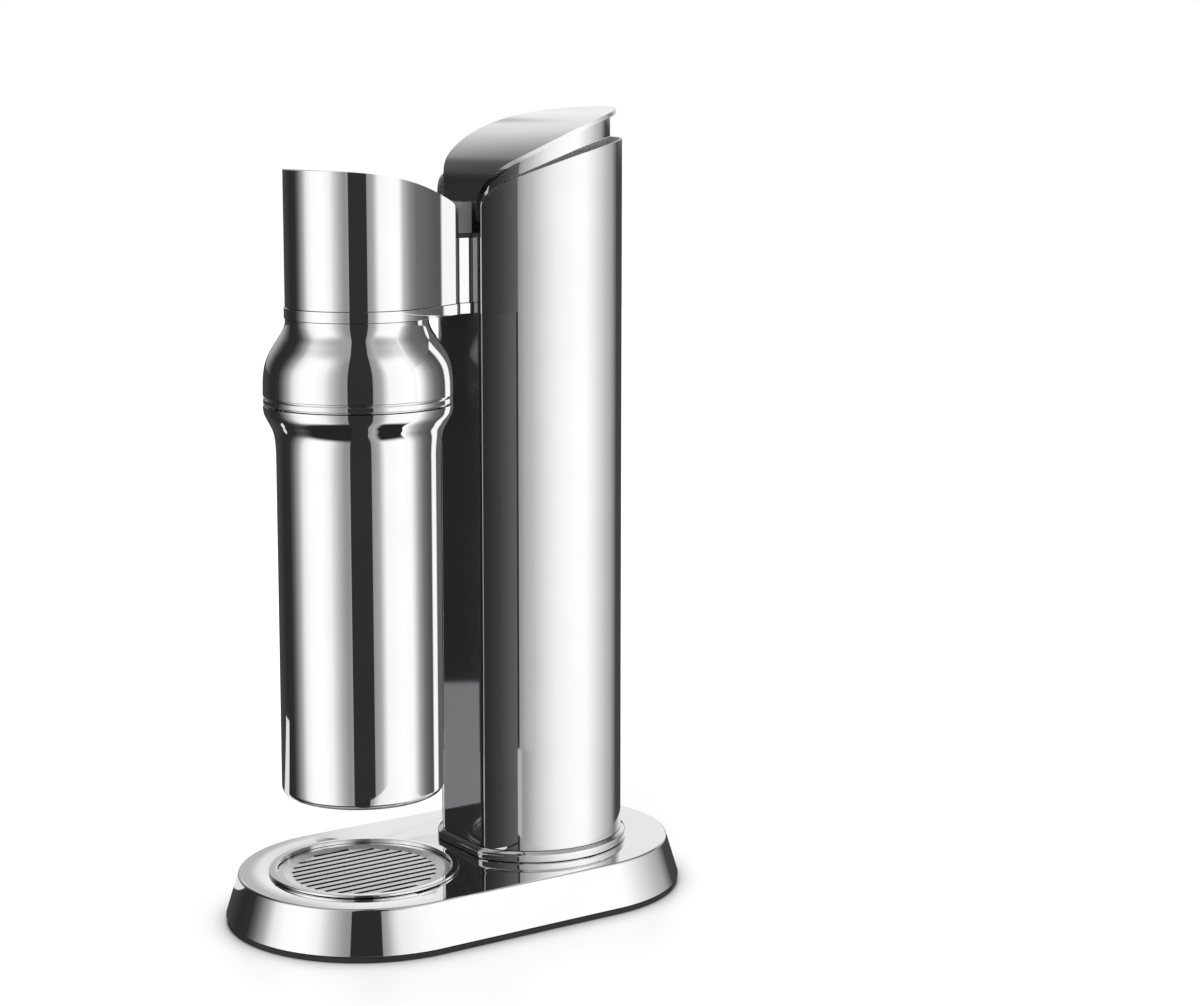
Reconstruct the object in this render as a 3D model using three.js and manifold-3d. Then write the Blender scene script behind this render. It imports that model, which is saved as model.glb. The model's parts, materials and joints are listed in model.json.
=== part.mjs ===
// Sparkling water maker: long base with a drip tray, round column with a lever on top,
// head with a carbonating nozzle, steel bottle and the gas cylinder inside the column.
// Millimetres, Z up, front towards -Y. The origin is under the middle of the base.
import * as THREE from 'three';
import Module from 'manifold-3d';

const wasm = await Module();
wasm.setup();

// Fits and shared clearances
const gap = 0.3;
const runGap = 0.4;
const boreGap = 0.25;
const cutOver = 2;

// Sides of round faces, from the large skins down to bores
const fineSides = 36;
const roundSides = 24;
const partSides = 12;
const smallSides = 8;
const curveSteps = 8;
const cornerSteps = 4;

// Base
const baseBottomHalf = 74.6;
const baseFlare = 6.8;
const baseTopHalf = baseBottomHalf - baseFlare;
const baseTop = 25.4;
const baseEdge = 1.2;
const baseWall = 1.6;
const footHeight = 2.9;
const footInset = 0.5;
const footWidth = 8;
const plateThick = 2;
const plateInset = 3.4;
const frontPostInset = 16.6;
const frontPostX = baseBottomHalf - frontPostInset;
const frontPostBack = 37;
const rearPostInset = 22.6;
const rearPostX = baseBottomHalf - rearPostInset;
const rearPostBack = 38;
const postBoreDepth = 10;
const frameBossHeight = 9;
const frameScrewX = 11;
const frameScrewBack = 6;

// Layout of the two upright axes
const columnRadius = 48.5;
const columnHalfFlat = 20.3;
const headReach = 60.25;
const spanExtra = 3.8;
const frontOverhang = 2.95;
const axisSpan = headReach + Math.sqrt(columnRadius ** 2 - columnHalfFlat ** 2);
const baseRoundSpan = axisSpan + spanExtra;
const bottleY = -baseRoundSpan / 2 - frontOverhang;
const columnFlatY = bottleY + headReach;
const columnY = bottleY + axisSpan;

// Drip tray and grille
const trayRadius = 46.5;
const rimOut = 2.9;
const rimRadius = trayRadius + rimOut;
const rimHeight = 1.2;
const trayWall = 1;
const trayBottom = 9;
const ledgeWidth = 3;
const ledgeDrop = 3.6;
const grilleThick = 1.2;
const grilleDish = 0.9;
const slotWidth = 2.4;
const slotPitch = 6;
const slotInset = 9;
const slotFieldRadius = trayRadius - slotInset;
const slotRows = 2 * Math.floor((slotFieldRadius - slotWidth / 2) / slotPitch) + 1;

// Column
const shellWall = 1.2;
const hemRadius = 1.3;
const beadHeight = 5.3;
const beadOut = 2.6;
const beadIn = 2.8;
const upstandHeight = 5;
const upstandWall = 1.6;
const upstandBack = 8.4;
const panelThick = 1.5;
const panelHalf = 18.2;
const panelTop = 355;
const channelHalf = 17;
const channelWall = 2;
const channelDepth = 14;
const channelTop = 354.7;
const channelFootDepth = 9.9;
const channelY = columnFlatY + panelThick + gap;
const beadTop = baseTop + gap + beadHeight;
const shellBottom = beadTop + gap;

// Sloping top of the column shell
const rim = {
  frontY: columnFlatY + 0.1,
  frontZ: 364.6,
  cornerRadius: 20.7,
  cornerSlope: 24.3,
  archRadius: 225,
};

// Lever
const leverCurve = {
  frontY: columnFlatY + 1.5,
  frontZ: 370.2,
  cornerRadius: 26.8,
  cornerSlope: 33,
  archRadius: 167.6,
};
const leverInset = 3.3;
const leverRadius = columnRadius - leverInset;
const leverFrontBottom = 361;
const leverPlateThick = 2.2;
const skirtInset = 3;
const skirtRadius = leverRadius - skirtInset;
const skirtWall = 2;
const skirtDip = 6;
const webThick = 2;
const armHalf = 11.7;
const armWall = 2.2;
const pivotBack = 12.75;
const pivotY = columnFlatY + pivotBack;
const pivotZ = 368;
const pivotRadius = 2.5;
const pivotHalf = 15.2;
const armEye = 5;
const noseRadius = 5;
const noseZ = 396.8;

// Gas cylinder and its valve
const cylinderRoom = 18.5;
const cylinderRadius = columnRadius - cylinderRoom;
const cylinderWall = 2.4;
const cylinderBottom = 22;
const cylinderHoleGap = 1.5;
const cylinderCorner = 9;
const shoulderStart = 280.4;
const shoulderEnd = 320.4;
const neckRadius = 15;
const neckTop = 339.4;
const neckBore = 9;
const gasketThick = 1.4;
const gasketRadius = 14.6;
const valveLowerRadius = 14;
const valveLowerHeight = 11.6;
const valveFlangeRadius = 12;
const valveFlangeHeight = 2;
const valveThreadRadius = 10.2;
const valveThreadHeight = 17;
const valveSpigotDepth = 12;
const valveGroove = 0.5;
const valveLip = 1;
const pinRadius = 2.3;
const pinLength = 12;
const pinSink = 1.4;
const pinRoom = 7;
const padThick = 2.4;
const padInset = 3;
const padRadius = cylinderRadius - padInset;
const guideHeight = 12;
const guideWall = 2.6;
const guideReach = 6;
const guideBackDepth = 4;
const valveBottom = neckTop + gap + gasketThick + gap;
const valveTop = valveBottom + valveLowerHeight + valveFlangeHeight + valveThreadHeight;

// Valve block, plunger and the bracket that carries them
const blockRadius = 14;
const blockBottom = 362;
const blockTop = 381;
const outletDepth = 4;
const sealThick = 1.5;
const sealRadius = 8;
const plungerRadius = 2.2;
const plungerHeadRadius = 6.5;
const plungerHeadHeight = 2.7;
const plungerTop = noseZ - noseRadius - gap;
const plungerBottom = valveTop + runGap;
const springWire = 0.45;
const springRadius = 4.6;
const springTurns = 3;
const springSides = 5;
const bracketHalf = 14.7;
const bracketWall = 2.2;
const bracketPlate = 3;
const bracketBottom = 332;
const bracketScrewX = 9;
const bracketScrewRise = 5.5;
const bracketRear = 15;
const legThick = 2.5;
const earRadius = 5;
const blockFittingZ = 376.5;

// Head
const headRadius = 36.3;
const headSideRadius = 75;
const headTurn = 101;
const headBottom = 319.4;
const headFrontTop = 388;
const headRearTop = 372.2;
const headSag = 4.6;
const headWall = 1.6;
const headRearY = 50.8;
const headRearCorner = 9;
const headCornerTurn = 67.4;
const neckHalf = 13.5;
const neckFillet = 3;
const lipZ = 352.5;
const ringHeight = 5.4;
const ringOut = 0.5;
const ringWall = 3;
const ringLip = 1.2;
const neckPadThick = 1.8;
const hingeBlockTop = 370.5;
const hingeBlockFront = 51.9;
const hingeBlockCorner = 5;

// Nozzle group inside the head
const beamThick = 3;
const beamDiscRadius = 26;
const beamHalf = 7;
const beamRise = 11;
const beamBottom = 330;
const beamFlangeHalf = 11.3;
const beamFlangeBottom = 325.5;
const beamFlangeTop = 350;
const beamFlangeOut = 0.5;
const beamScrewX = 7.6;
const beamScrewDrop = 3.6;
const earHalf = 2.6;
const beamSpare = 2;
const bossReach = 31.5;
const bossRadius = 3.4;
const nozzleRadius = 17;
const nozzleTop = 360;
const spigotRadius = 7;
const nozzleBore = 2.6;
const tubeRadius = 2.3;
const tubeBore = 1.3;
const tubeBottom = 190;
const tipRadius = 3.6;
const tipHeight = 10;
const tipBore = 0.8;
const reliefRadius = 6;
const reliefHeight = 13;
const reliefNutHeight = 5;
const reliefCapRadius = 4.6;
const reliefStemRadius = 4;
const reliefDepth = 5;
const reliefBack = 8;
const socketRadius = 28;
const socketBottom = 315;
const hoseZ = 345;
const hoseRadius = 2.6;
const hoseBore = 1.2;
const hoseRoom = 1.5;
const hoseBend = 4;
const fittingRadius = 4;
const fittingLength = 6;
const fittingShoulder = 1.4;
const fittingFlange = 2;
const fittingDepth = 3;

// Bottle
const bottleRadius = 41.9;
const bottleWall = 1.2;
const bottleBottom = 68;
const bottleCorner = 4;
const bulgeRadius = 48.1;
const seamBottom = 270;
const seamTop = 274.5;
const seamDepth = 1.5;
const flareStart = 246;
const bottleNeckRadius = 36.3;
const bottleNeckTop = 313.4;
const mouthRadius = 15.2;
const mouthWall = 2.4;
const mouthTop = 327.3;

// Screws
const screwRadius = 1.5;
const screwHeadRadius = 2.8;
const screwHeadHeight = 1.6;
const basePostRadius = 3.6;
const screwLength = 9;
const shortScrewLength = 4.2;
const screwBite = 8;

const finishes = {
  chrome: { color: 0xd8dadd, roughness: 0.06, metalness: 1 },
  satin: { color: 0xb9bbbd, roughness: 0.35, metalness: 1 },
  steel: { color: 0x9c9fa3, roughness: 0.3, metalness: 1 },
  darkMirror: { color: 0x2a2b2d, roughness: 0.08, metalness: 1 },
  rubber: { color: 0x2c2d2f, roughness: 0.8, metalness: 0 },
  greyPlastic: { color: 0x6b6c6e, roughness: 0.45, metalness: 0 },
  blackPlastic: { color: 0x1c1c1e, roughness: 0.5, metalness: 0 },
  blackGloss: { color: 0x14171d, roughness: 0.15, metalness: 0 },
  brass: { color: 0xc79a3a, roughness: 0.25, metalness: 1 },
  white: { color: 0xe6e6e2, roughness: 0.6, metalness: 0 },
  clear: { color: 0xd9dcdc, roughness: 0.3, metalness: 0 },
};

// Geometry helpers

function point(x, y) {
  return new THREE.Vector2(x, y);
}

function radians(degrees) {
  return THREE.MathUtils.degToRad(degrees);
}

function arc(x, y, radius, from, to, steps) {
  const points = [];
  for (let i = 0; i <= steps; i += 1) {
    const angle = radians(from + ((to - from) * i) / steps);
    points.push(point(x + radius * Math.cos(angle), y + radius * Math.sin(angle)));
  }
  return points;
}

function round(x, y, radius, steps) {
  return arc(x, y, radius, 0, 360 - 360 / steps, steps - 1);
}

function volumeOf(vertices, triangles) {
  let sum = 0;
  for (let i = 0; i < triangles.length; i += 3) {
    const [a, b, c] = [0, 1, 2].map((k) => {
      const start = triangles[i + k] * 3;
      return new THREE.Vector3(vertices[start], vertices[start + 1], vertices[start + 2]);
    });
    sum += a.dot(b.cross(c));
  }
  return sum / 6;
}

// Joins equal corners of a geometry and makes it a solid for cutting and joining.
function solidFrom(geometry) {
  const source = geometry.index ? geometry.toNonIndexed() : geometry;
  const positions = source.getAttribute('position');
  const seen = new Map();
  const vertices = [];
  const corners = [];
  for (let i = 0; i < positions.count; i += 1) {
    const spot = [positions.getX(i), positions.getY(i), positions.getZ(i)];
    const key = spot.map((value) => Math.round(value * 1e4)).join(' ');
    if (!seen.has(key)) {
      seen.set(key, vertices.length / 3);
      vertices.push(...spot);
    }
    corners.push(seen.get(key));
  }
  const triangles = [];
  for (let i = 0; i < corners.length; i += 3) {
    const [a, b, c] = corners.slice(i, i + 3);
    if (a !== b && b !== c && a !== c) {
      triangles.push(a, b, c);
    }
  }
  if (volumeOf(vertices, triangles) < 0) {
    triangles.reverse();
  }
  return new wasm.Manifold(new wasm.Mesh({
    numProp: 3,
    vertProperties: new Float32Array(vertices),
    triVerts: new Uint32Array(triangles),
  }));
}

function prism(outline, bottom, top) {
  const geometry = new THREE.ExtrudeGeometry(new THREE.Shape(outline), {
    depth: top - bottom,
    bevelEnabled: false,
  });
  return solidFrom(geometry.translate(0, 0, bottom));
}

function box(x0, x1, y0, y1, z0, z1) {
  return prism([point(x0, y0), point(x1, y0), point(x1, y1), point(x0, y1)], z0, z1);
}

// Extrudes an outline drawn in Y and Z along X.
function sideSlab(outline, fromX, toX) {
  const geometry = new THREE.ExtrudeGeometry(new THREE.Shape(outline), {
    depth: toX - fromX,
    bevelEnabled: false,
  });
  geometry.translate(0, 0, fromX);
  geometry.applyMatrix4(new THREE.Matrix4().set(0, 0, 1, 0, 1, 0, 0, 0, 0, 1, 0, 0, 0, 0, 0, 1));
  return solidFrom(geometry);
}

// Turns a closed outline of radius and height about an upright axis.
function turned(outline, y, sides) {
  const geometry = new THREE.LatheGeometry([...outline, outline[0]], sides);
  geometry.rotateX(Math.PI / 2);
  geometry.translate(0, y, 0);
  return solidFrom(geometry);
}

function rod(x, y, radius, bottom, top, sides = partSides) {
  return prism(round(x, y, radius, sides), bottom, top);
}

function rodAlongX(y, z, radius, fromX, toX, sides = partSides) {
  return sideSlab(round(y, z, radius, sides), fromX, toX);
}

function rodAlongY(x, z, radius, fromY, toY, sides = partSides) {
  const geometry = new THREE.ExtrudeGeometry(new THREE.Shape(round(-x, z, radius, sides)), {
    depth: toY - fromY,
    bevelEnabled: false,
  });
  geometry.translate(0, 0, fromY);
  geometry.applyMatrix4(new THREE.Matrix4().set(-1, 0, 0, 0, 0, 0, 1, 0, 0, 1, 0, 0, 0, 0, 0, 1));
  return solidFrom(geometry);
}

// Joins equal-sized outlines at rising heights into one closed skin.
function stack(levels) {
  const count = levels[0].outline.length;
  const positions = [];
  const spot = (level, i) => {
    const corner = level.outline[i % count];
    return [corner.x, corner.y, level.z];
  };
  for (let k = 0; k + 1 < levels.length; k += 1) {
    for (let i = 0; i < count; i += 1) {
      const a = spot(levels[k], i);
      const b = spot(levels[k], i + 1);
      const c = spot(levels[k + 1], i + 1);
      const d = spot(levels[k + 1], i);
      positions.push(...a, ...b, ...c, ...a, ...c, ...d);
    }
  }
  for (const [level, flip] of [[levels[0], true], [levels[levels.length - 1], false]]) {
    for (const face of THREE.ShapeUtils.triangulateShape(level.outline, [])) {
      const order = flip ? [...face].reverse() : face;
      for (const i of order) {
        positions.push(...spot(level, i));
      }
    }
  }
  const geometry = new THREE.BufferGeometry();
  geometry.setAttribute('position', new THREE.Float32BufferAttribute(positions, 3));
  return solidFrom(geometry);
}

function tubeAlong(points, radius, sides, steps) {
  const path = new THREE.CatmullRomCurve3(points);
  const outline = new THREE.Shape(round(0, 0, radius, sides));
  return solidFrom(new THREE.ExtrudeGeometry(outline, { steps, extrudePath: path }));
}

function unite(solids) {
  return solids.reduce((whole, next) => whole.add(next));
}

function sorted(a, b) {
  return a < b ? [a, b] : [b, a];
}

function both(make) {
  return make(1).add(make(-1));
}

const group = new THREE.Group();

function addPiece(name, solid, finish) {
  const mesh = solid.getMesh();
  const geometry = new THREE.BufferGeometry();
  const spots = new Float32Array((mesh.vertProperties.length / mesh.numProp) * 3);
  for (let i = 0; i < spots.length / 3; i += 1) {
    for (let k = 0; k < 3; k += 1) {
      spots[i * 3 + k] = mesh.vertProperties[i * mesh.numProp + k];
    }
  }
  geometry.setAttribute('position', new THREE.BufferAttribute(spots, 3));
  geometry.setIndex(new THREE.BufferAttribute(new Uint32Array(mesh.triVerts), 1));
  geometry.computeVertexNormals();
  const piece = new THREE.Mesh(geometry, new THREE.MeshStandardMaterial(finishes[finish]));
  piece.name = name;
  group.add(piece);
}

// Outlines shared by several pieces

function baseOutline(half) {
  const span = baseRoundSpan / 2;
  return [...arc(0, -span, half, 180, 360, fineSides / 2), ...arc(0, span, half, 0, 180, fineSides / 2)];
}

// Circle of the column with its flat front.
function columnOutline(radius, flatY, steps = fineSides) {
  const half = THREE.MathUtils.radToDeg(Math.acos((columnY - flatY) / radius));
  return arc(0, columnY, radius, -90 + half, 270 - half, steps);
}

// Side curve that rises from the front, turns over a round corner and runs to the rear.
// A larger inset moves it inwards and keeps the curves concentric.
function risingCurve(shape, inset, rearY) {
  const turnAt = 90 + shape.cornerSlope;
  const cornerY = shape.frontY + shape.cornerRadius;
  const corner = arc(cornerY, shape.frontZ, shape.cornerRadius - inset, 180, turnAt, cornerSteps + 1);
  const fromCorner = shape.archRadius - shape.cornerRadius;
  const archY = cornerY - fromCorner * Math.cos(radians(turnAt));
  const archZ = shape.frontZ - fromCorner * Math.sin(radians(turnAt));
  const archInset = shape.archRadius - inset;
  const endAt = THREE.MathUtils.radToDeg(Math.acos((rearY - archY) / archInset));
  return [...corner, ...arc(archY, archZ, archInset, turnAt, endAt, curveSteps).slice(1)];
}

function underCurve(shape, inset, bottom) {
  const rearY = columnY + columnRadius + cutOver;
  const curve = risingCurve(shape, inset, rearY);
  return [point(curve[0].x, bottom), ...curve, point(rearY, bottom)];
}

// Plan outline of the head: round front, long sides closing in, straight neck.
function headOutline(inset, rearY, withFillet = true) {
  const front = headRadius - inset;
  const side = headSideRadius - inset;
  const half = neckHalf - inset;
  const turn = radians(headTurn - 90);
  const shift = headSideRadius - headRadius;
  const sideX = -shift * Math.cos(turn);
  const sideY = -shift * Math.sin(turn);
  const fillet = withFillet ? neckFillet + inset : 0;
  const meetX = half + fillet - sideX;
  const meetY = Math.sqrt((side + fillet) ** 2 - meetX ** 2);
  const endAt = THREE.MathUtils.radToDeg(Math.atan2(meetY, meetX));
  const turnAt = headTurn - 90;
  const right = [
    ...arc(0, 0, front, -90, turnAt, fineSides / 3),
    ...arc(sideX, sideY, side, turnAt, endAt, cornerSteps + 2).slice(1),
  ];
  if (withFillet) {
    right.push(...arc(half + fillet, sideY + meetY, fillet, 180 + endAt, 180, cornerSteps - 1).slice(1));
  }
  right.push(point(half, rearY));
  const left = right.slice(1).reverse().map((spot) => point(-spot.x, spot.y));
  return [...right, ...left].map((spot) => point(spot.x, spot.y + bottleY));
}

// Base group

function baseShell() {
  const outer = stack([
    { outline: baseOutline(baseBottomHalf), z: footHeight + gap },
    { outline: baseOutline(baseTopHalf + baseEdge / 2), z: baseTop - baseEdge },
    { outline: baseOutline(baseTopHalf), z: baseTop - baseEdge / 4 },
    { outline: baseOutline(baseTopHalf - baseEdge / 2), z: baseTop },
  ]);
  const inner = stack([
    { outline: baseOutline(baseBottomHalf - baseWall), z: footHeight },
    { outline: baseOutline(baseTopHalf - baseWall), z: baseTop - baseWall },
  ]);
  const over = baseTop + cutOver;
  const trayHole = rod(0, bottleY, trayRadius + runGap, 0, over, fineSides);
  const cylinderHole = rod(0, columnY, cylinderRadius + cylinderHoleGap, 0, over, roundSides);
  const posts = basePostSpots().map(([x, y]) => {
    const post = rod(x, y, basePostRadius, basePlateTop() + gap, baseTop - baseWall / 2);
    return post.subtract(rod(x, y, screwRadius + boreGap, 0, basePlateTop() + postBoreDepth, smallSides));
  });
  const bosses = frameScrewSpots().map(([x, y]) => (
    rod(x, y, basePostRadius, baseTop - frameBossHeight, baseTop - baseWall / 2)
  ));
  const boreBottom = baseTop - frameBossHeight + baseWall;
  const frameBores = frameScrewSpots().map(([x, y]) => (
    rod(x, y, screwRadius + boreGap, boreBottom, over, smallSides)
  ));
  const whole = unite([outer.subtract(inner), ...posts, ...bosses]);
  return whole.subtract(unite([trayHole, cylinderHole, ...frameBores]));
}

function basePlateTop() {
  return footHeight + gap + plateThick;
}

function basePostSpots() {
  const front = [frontPostX, bottleY + frontPostBack];
  const rear = [rearPostX, columnY + rearPostBack];
  return [front, [-front[0], front[1]], rear, [-rear[0], rear[1]]];
}

function frameScrewSpots() {
  const y = channelY + frameScrewBack;
  return [[frameScrewX, y], [-frameScrewX, y]];
}

function basePlate() {
  const plate = prism(baseOutline(baseBottomHalf - plateInset), footHeight + gap, basePlateTop());
  const holes = basePostSpots().map(([x, y]) => rod(x, y, screwRadius + boreGap, 0, baseTop, smallSides));
  return plate.subtract(unite(holes));
}

function footRing() {
  const outer = prism(baseOutline(baseBottomHalf - footInset), 0, footHeight);
  const inner = prism(baseOutline(baseBottomHalf - footInset - footWidth), -cutOver, footHeight + cutOver);
  return outer.subtract(inner);
}

function screwUp(x, y, underside, length) {
  const headTop = underside - gap / 2;
  const head = rod(x, y, screwHeadRadius, headTop - screwHeadHeight, headTop, partSides);
  return head.add(rod(x, y, screwRadius, headTop - gap, headTop + length, smallSides));
}

function screwDown(x, y, topside, length) {
  const headLow = topside + gap / 2;
  const head = rod(x, y, screwHeadRadius, headLow, headLow + screwHeadHeight, partSides);
  return head.add(rod(x, y, screwRadius, headLow - length, headLow + gap, smallSides));
}

// Drip tray group

function dripTray() {
  const low = baseTop + gap;
  const ledgeZ = baseTop + gap + rimHeight - ledgeDrop;
  const rimSide = rimHeight / 2;
  const outline = [
    point(0, trayBottom),
    point(trayRadius - ledgeWidth, trayBottom),
    point(trayRadius - ledgeWidth, ledgeZ - trayWall),
    point(trayRadius, ledgeZ - trayWall),
    point(trayRadius, low),
    point(rimRadius - rimSide / 2, low),
    point(rimRadius, low + rimSide / 2),
    point(rimRadius, low + rimSide),
    point(rimRadius - rimSide / 2, low + rimHeight - rimSide / 4),
    point(rimRadius - rimSide * 1.5, low + rimHeight),
    point(rimRadius - rimSide * 2.4, low + rimHeight - rimSide / 3),
    point(trayRadius - trayWall, low + rimSide / 2),
    point(trayRadius - trayWall, ledgeZ),
    point(trayRadius - ledgeWidth - trayWall, ledgeZ),
    point(trayRadius - ledgeWidth - trayWall, trayBottom + trayWall),
    point(0, trayBottom + trayWall),
  ];
  return turned(outline, bottleY, fineSides);
}

function dripGrille() {
  const edge = trayRadius - trayWall - runGap;
  const low = baseTop + gap + rimHeight - ledgeDrop + gap;
  const flat = edge - ledgeWidth;
  const disc = turned([
    point(0, low - grilleDish),
    point(slotFieldRadius, low - grilleDish),
    point(flat, low),
    point(edge, low),
    point(edge, low + grilleThick),
    point(flat, low + grilleThick),
    point(slotFieldRadius, low + grilleThick - grilleDish),
    point(0, low + grilleThick - grilleDish),
  ], bottleY, fineSides);
  const slots = [];
  const middle = (slotRows - 1) / 2;
  for (let row = 0; row < slotRows; row += 1) {
    const x = (row - middle) * slotPitch;
    const half = Math.sqrt(slotFieldRadius ** 2 - x ** 2);
    const side = slotWidth / 2;
    slots.push(box(x - side, x + side, bottleY - half, bottleY + half, low - cutOver, low + cutOver));
  }
  return disc.subtract(unite(slots));
}

// Column group

function columnFoot() {
  const level = (out, z) => ({ outline: columnOutline(columnRadius + out, columnFlatY - out), z });
  const low = baseTop + gap;
  const bead = stack([
    level(beadOut * 0.7, low),
    level(beadOut, low + beadHeight * 0.25),
    level(beadOut, low + beadHeight * 0.6),
    level(beadOut * 0.6, low + beadHeight * 0.9),
    level(beadOut * 0.2, beadTop),
  ]);
  const hollow = prism(columnOutline(columnRadius - beadIn, channelY - gap / 2), 0, beadTop + cutOver);
  const outside = columnRadius - shellWall - runGap;
  const high = beadTop + upstandHeight;
  const rear = columnY + columnRadius;
  const upstand = rod(0, columnY, outside, beadTop - cutOver, high, fineSides)
    .subtract(rod(0, columnY, outside - upstandWall, 0, high + cutOver, fineSides))
    .intersect(box(-columnRadius, columnRadius, columnFlatY + upstandBack, rear, 0, channelTop));
  return bead.subtract(hollow).add(upstand);
}

function columnShell() {
  const half = THREE.MathUtils.radToDeg(Math.asin(columnHalfFlat / columnRadius));
  const top = leverCurve.frontZ + columnRadius;
  const outer = arc(0, columnY, columnRadius, -90 + half, 270 - half, fineSides);
  const inner = arc(0, columnY, columnRadius - shellWall, 270 - half, -90 + half, fineSides);
  const wall = prism([...outer, ...inner], shellBottom, top);
  const hemAt = radians(-90 + half);
  const hemReach = columnRadius - hemRadius;
  const hemX = hemReach * Math.cos(hemAt);
  const hemY = columnY + hemReach * Math.sin(hemAt);
  const hems = both((side) => rod(side * hemX, hemY, hemRadius, shellBottom, top));
  const keep = sideSlab(underCurve(rim, 0, 0), -columnRadius - cutOver, columnRadius + cutOver);
  const frontRear = columnFlatY + shellWall;
  const frontKeep = box(-columnRadius, columnRadius, columnFlatY - cutOver, frontRear, 0, rim.frontZ);
  return wall.add(hems).intersect(keep.add(frontKeep));
}

function frontPanel() {
  const low = beadTop + gap;
  const panel = box(-panelHalf, panelHalf, columnFlatY, columnFlatY + panelThick, low, panelTop);
  return panel.subtract(beamWindow(gap));
}

function beamWindow(extra) {
  const half = beamFlangeHalf + extra;
  const rearY = columnFlatY + panelThick + gap / 2;
  return box(-half, half, columnFlatY - cutOver, rearY, beamFlangeBottom - extra, beamFlangeTop + extra);
}

function frameChannel() {
  const low = baseTop + gap;
  const front = channelY - cutOver;
  const behindWeb = channelY + channelWall + cutOver;
  const web = box(-channelHalf, channelHalf, channelY, channelY + channelWall, low, channelTop);
  const sides = both((side) => box(
    ...sorted(side * channelHalf, side * (channelHalf - channelWall)),
    channelY,
    channelY + channelDepth,
    shellBottom + beadHeight,
    channelTop,
  ));
  const foot = box(-channelHalf, channelHalf, channelY, channelY + channelFootDepth, low, low + channelWall);
  const footBores = frameScrewSpots().map(([x, y]) => (
    rod(x, y, screwRadius + boreGap, 0, channelTop / 2, smallSides)
  ));
  const screwSpots = [...bracketScrewSpots(), ...beamScrewSpots(), guideScrewSpot()];
  const bores = screwSpots.map(([x, z]) => (
    rodAlongY(x, z, screwRadius + boreGap, front, behindWeb, smallSides)
  ));
  const hoseHole = rodAlongY(0, hoseZ, hoseRadius + hoseRoom, front, behindWeb);
  return unite([web, sides, foot]).subtract(unite([...footBores, ...bores, hoseHole]));
}

function bracketScrewSpots() {
  const z = bracketBottom + bracketScrewRise;
  return [[bracketScrewX, z], [-bracketScrewX, z]];
}

function beamScrewSpots() {
  const z = beamFlangeTop - beamScrewDrop;
  return [[beamScrewX, z], [-beamScrewX, z]];
}

function guideScrewSpot() {
  return [0, guideBottom() + guideHeight / 2];
}

function guideHeadY() {
  return columnY - cylinderRadius - screwHeadHeight - 4 * gap;
}

function guideBottom() {
  return (shellBottom + shoulderStart) / 2;
}

function cylinderGuide() {
  const low = guideBottom();
  const high = low + guideHeight;
  const inner = cylinderRadius + runGap;
  const half = channelHalf - channelWall - gap;
  const rear = columnY + guideReach;
  const ring = rod(0, columnY, inner + guideWall, low, high, roundSides)
    .intersect(box(-columnRadius, columnRadius, columnFlatY, rear, low, high));
  const backEnd = columnY - cylinderRadius + guideBackDepth;
  const back = box(-half, half, channelY + channelWall + gap, backEnd, low, high);
  const sideRoom = both((side) => box(
    ...sorted(side * half, side * columnRadius),
    columnFlatY,
    channelY + channelDepth + gap,
    low - cutOver,
    high + cutOver,
  ));
  const [x, z] = guideScrewSpot();
  const bore = rodAlongY(x, z, screwRadius + boreGap, columnFlatY, columnY, smallSides);
  const headRoom = rodAlongY(x, z, screwHeadRadius + gap, guideHeadY(), columnY);
  const room = rod(0, columnY, inner, low - cutOver, high + cutOver, roundSides);
  return ring.add(back).subtract(unite([room, sideRoom, bore, headRoom]));
}

function cylinderPad() {
  return rod(0, columnY, padRadius, basePlateTop() + gap, basePlateTop() + gap + padThick, roundSides);
}

function screwRearwards(x, z, faceY, length) {
  const headEnd = faceY - gap / 2;
  const head = rodAlongY(x, z, screwHeadRadius, headEnd - screwHeadHeight, headEnd);
  return head.add(rodAlongY(x, z, screwRadius, headEnd - gap, headEnd + length, smallSides));
}

function screwForwards(x, z, faceY, length) {
  const headStart = faceY + gap / 2;
  const head = rodAlongY(x, z, screwHeadRadius, headStart, headStart + screwHeadHeight);
  return head.add(rodAlongY(x, z, screwRadius, headStart - length, headStart + gap, smallSides));
}

// Lever group

function leverPlate() {
  const low = leverFrontBottom - cutOver;
  const outer = underCurve(leverCurve, 0, leverFrontBottom);
  const inner = underCurve(leverCurve, leverPlateThick, low);
  const strip = sideSlab(outer, -leverRadius, leverRadius)
    .subtract(sideSlab(inner, -leverRadius - cutOver, leverRadius + cutOver));
  return strip.intersect(rod(0, columnY, leverRadius, low, leverCeiling(), fineSides));
}

// A height safely above the whole lever.
function leverCeiling() {
  return leverCurve.frontZ + 2 * columnRadius;
}

function leverSkirt() {
  const low = leverFrontBottom + gap;
  const top = leverCeiling();
  const under = leverPlateThick + gap;
  const body = sideSlab(underCurve(leverCurve, under, low), -skirtRadius, skirtRadius)
    .intersect(rod(0, columnY, skirtRadius, low - cutOver, top, fineSides));
  const hollow = sideSlab(underCurve(leverCurve, under + webThick, 0), -leverRadius, leverRadius)
    .intersect(rod(0, columnY, skirtRadius - skirtWall, 0, top, fineSides));
  const bottomCut = sideSlab(underCurve(rim, skirtDip, 0), -leverRadius, leverRadius);
  const webRear = pivotY - earRadius - 5 * gap;
  const frontWeb = box(-leverRadius, leverRadius, columnFlatY, webRear, 0, top);
  const walls = body.subtract(hollow);
  return walls.subtract(bottomCut).add(walls.intersect(frontWeb));
}

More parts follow.
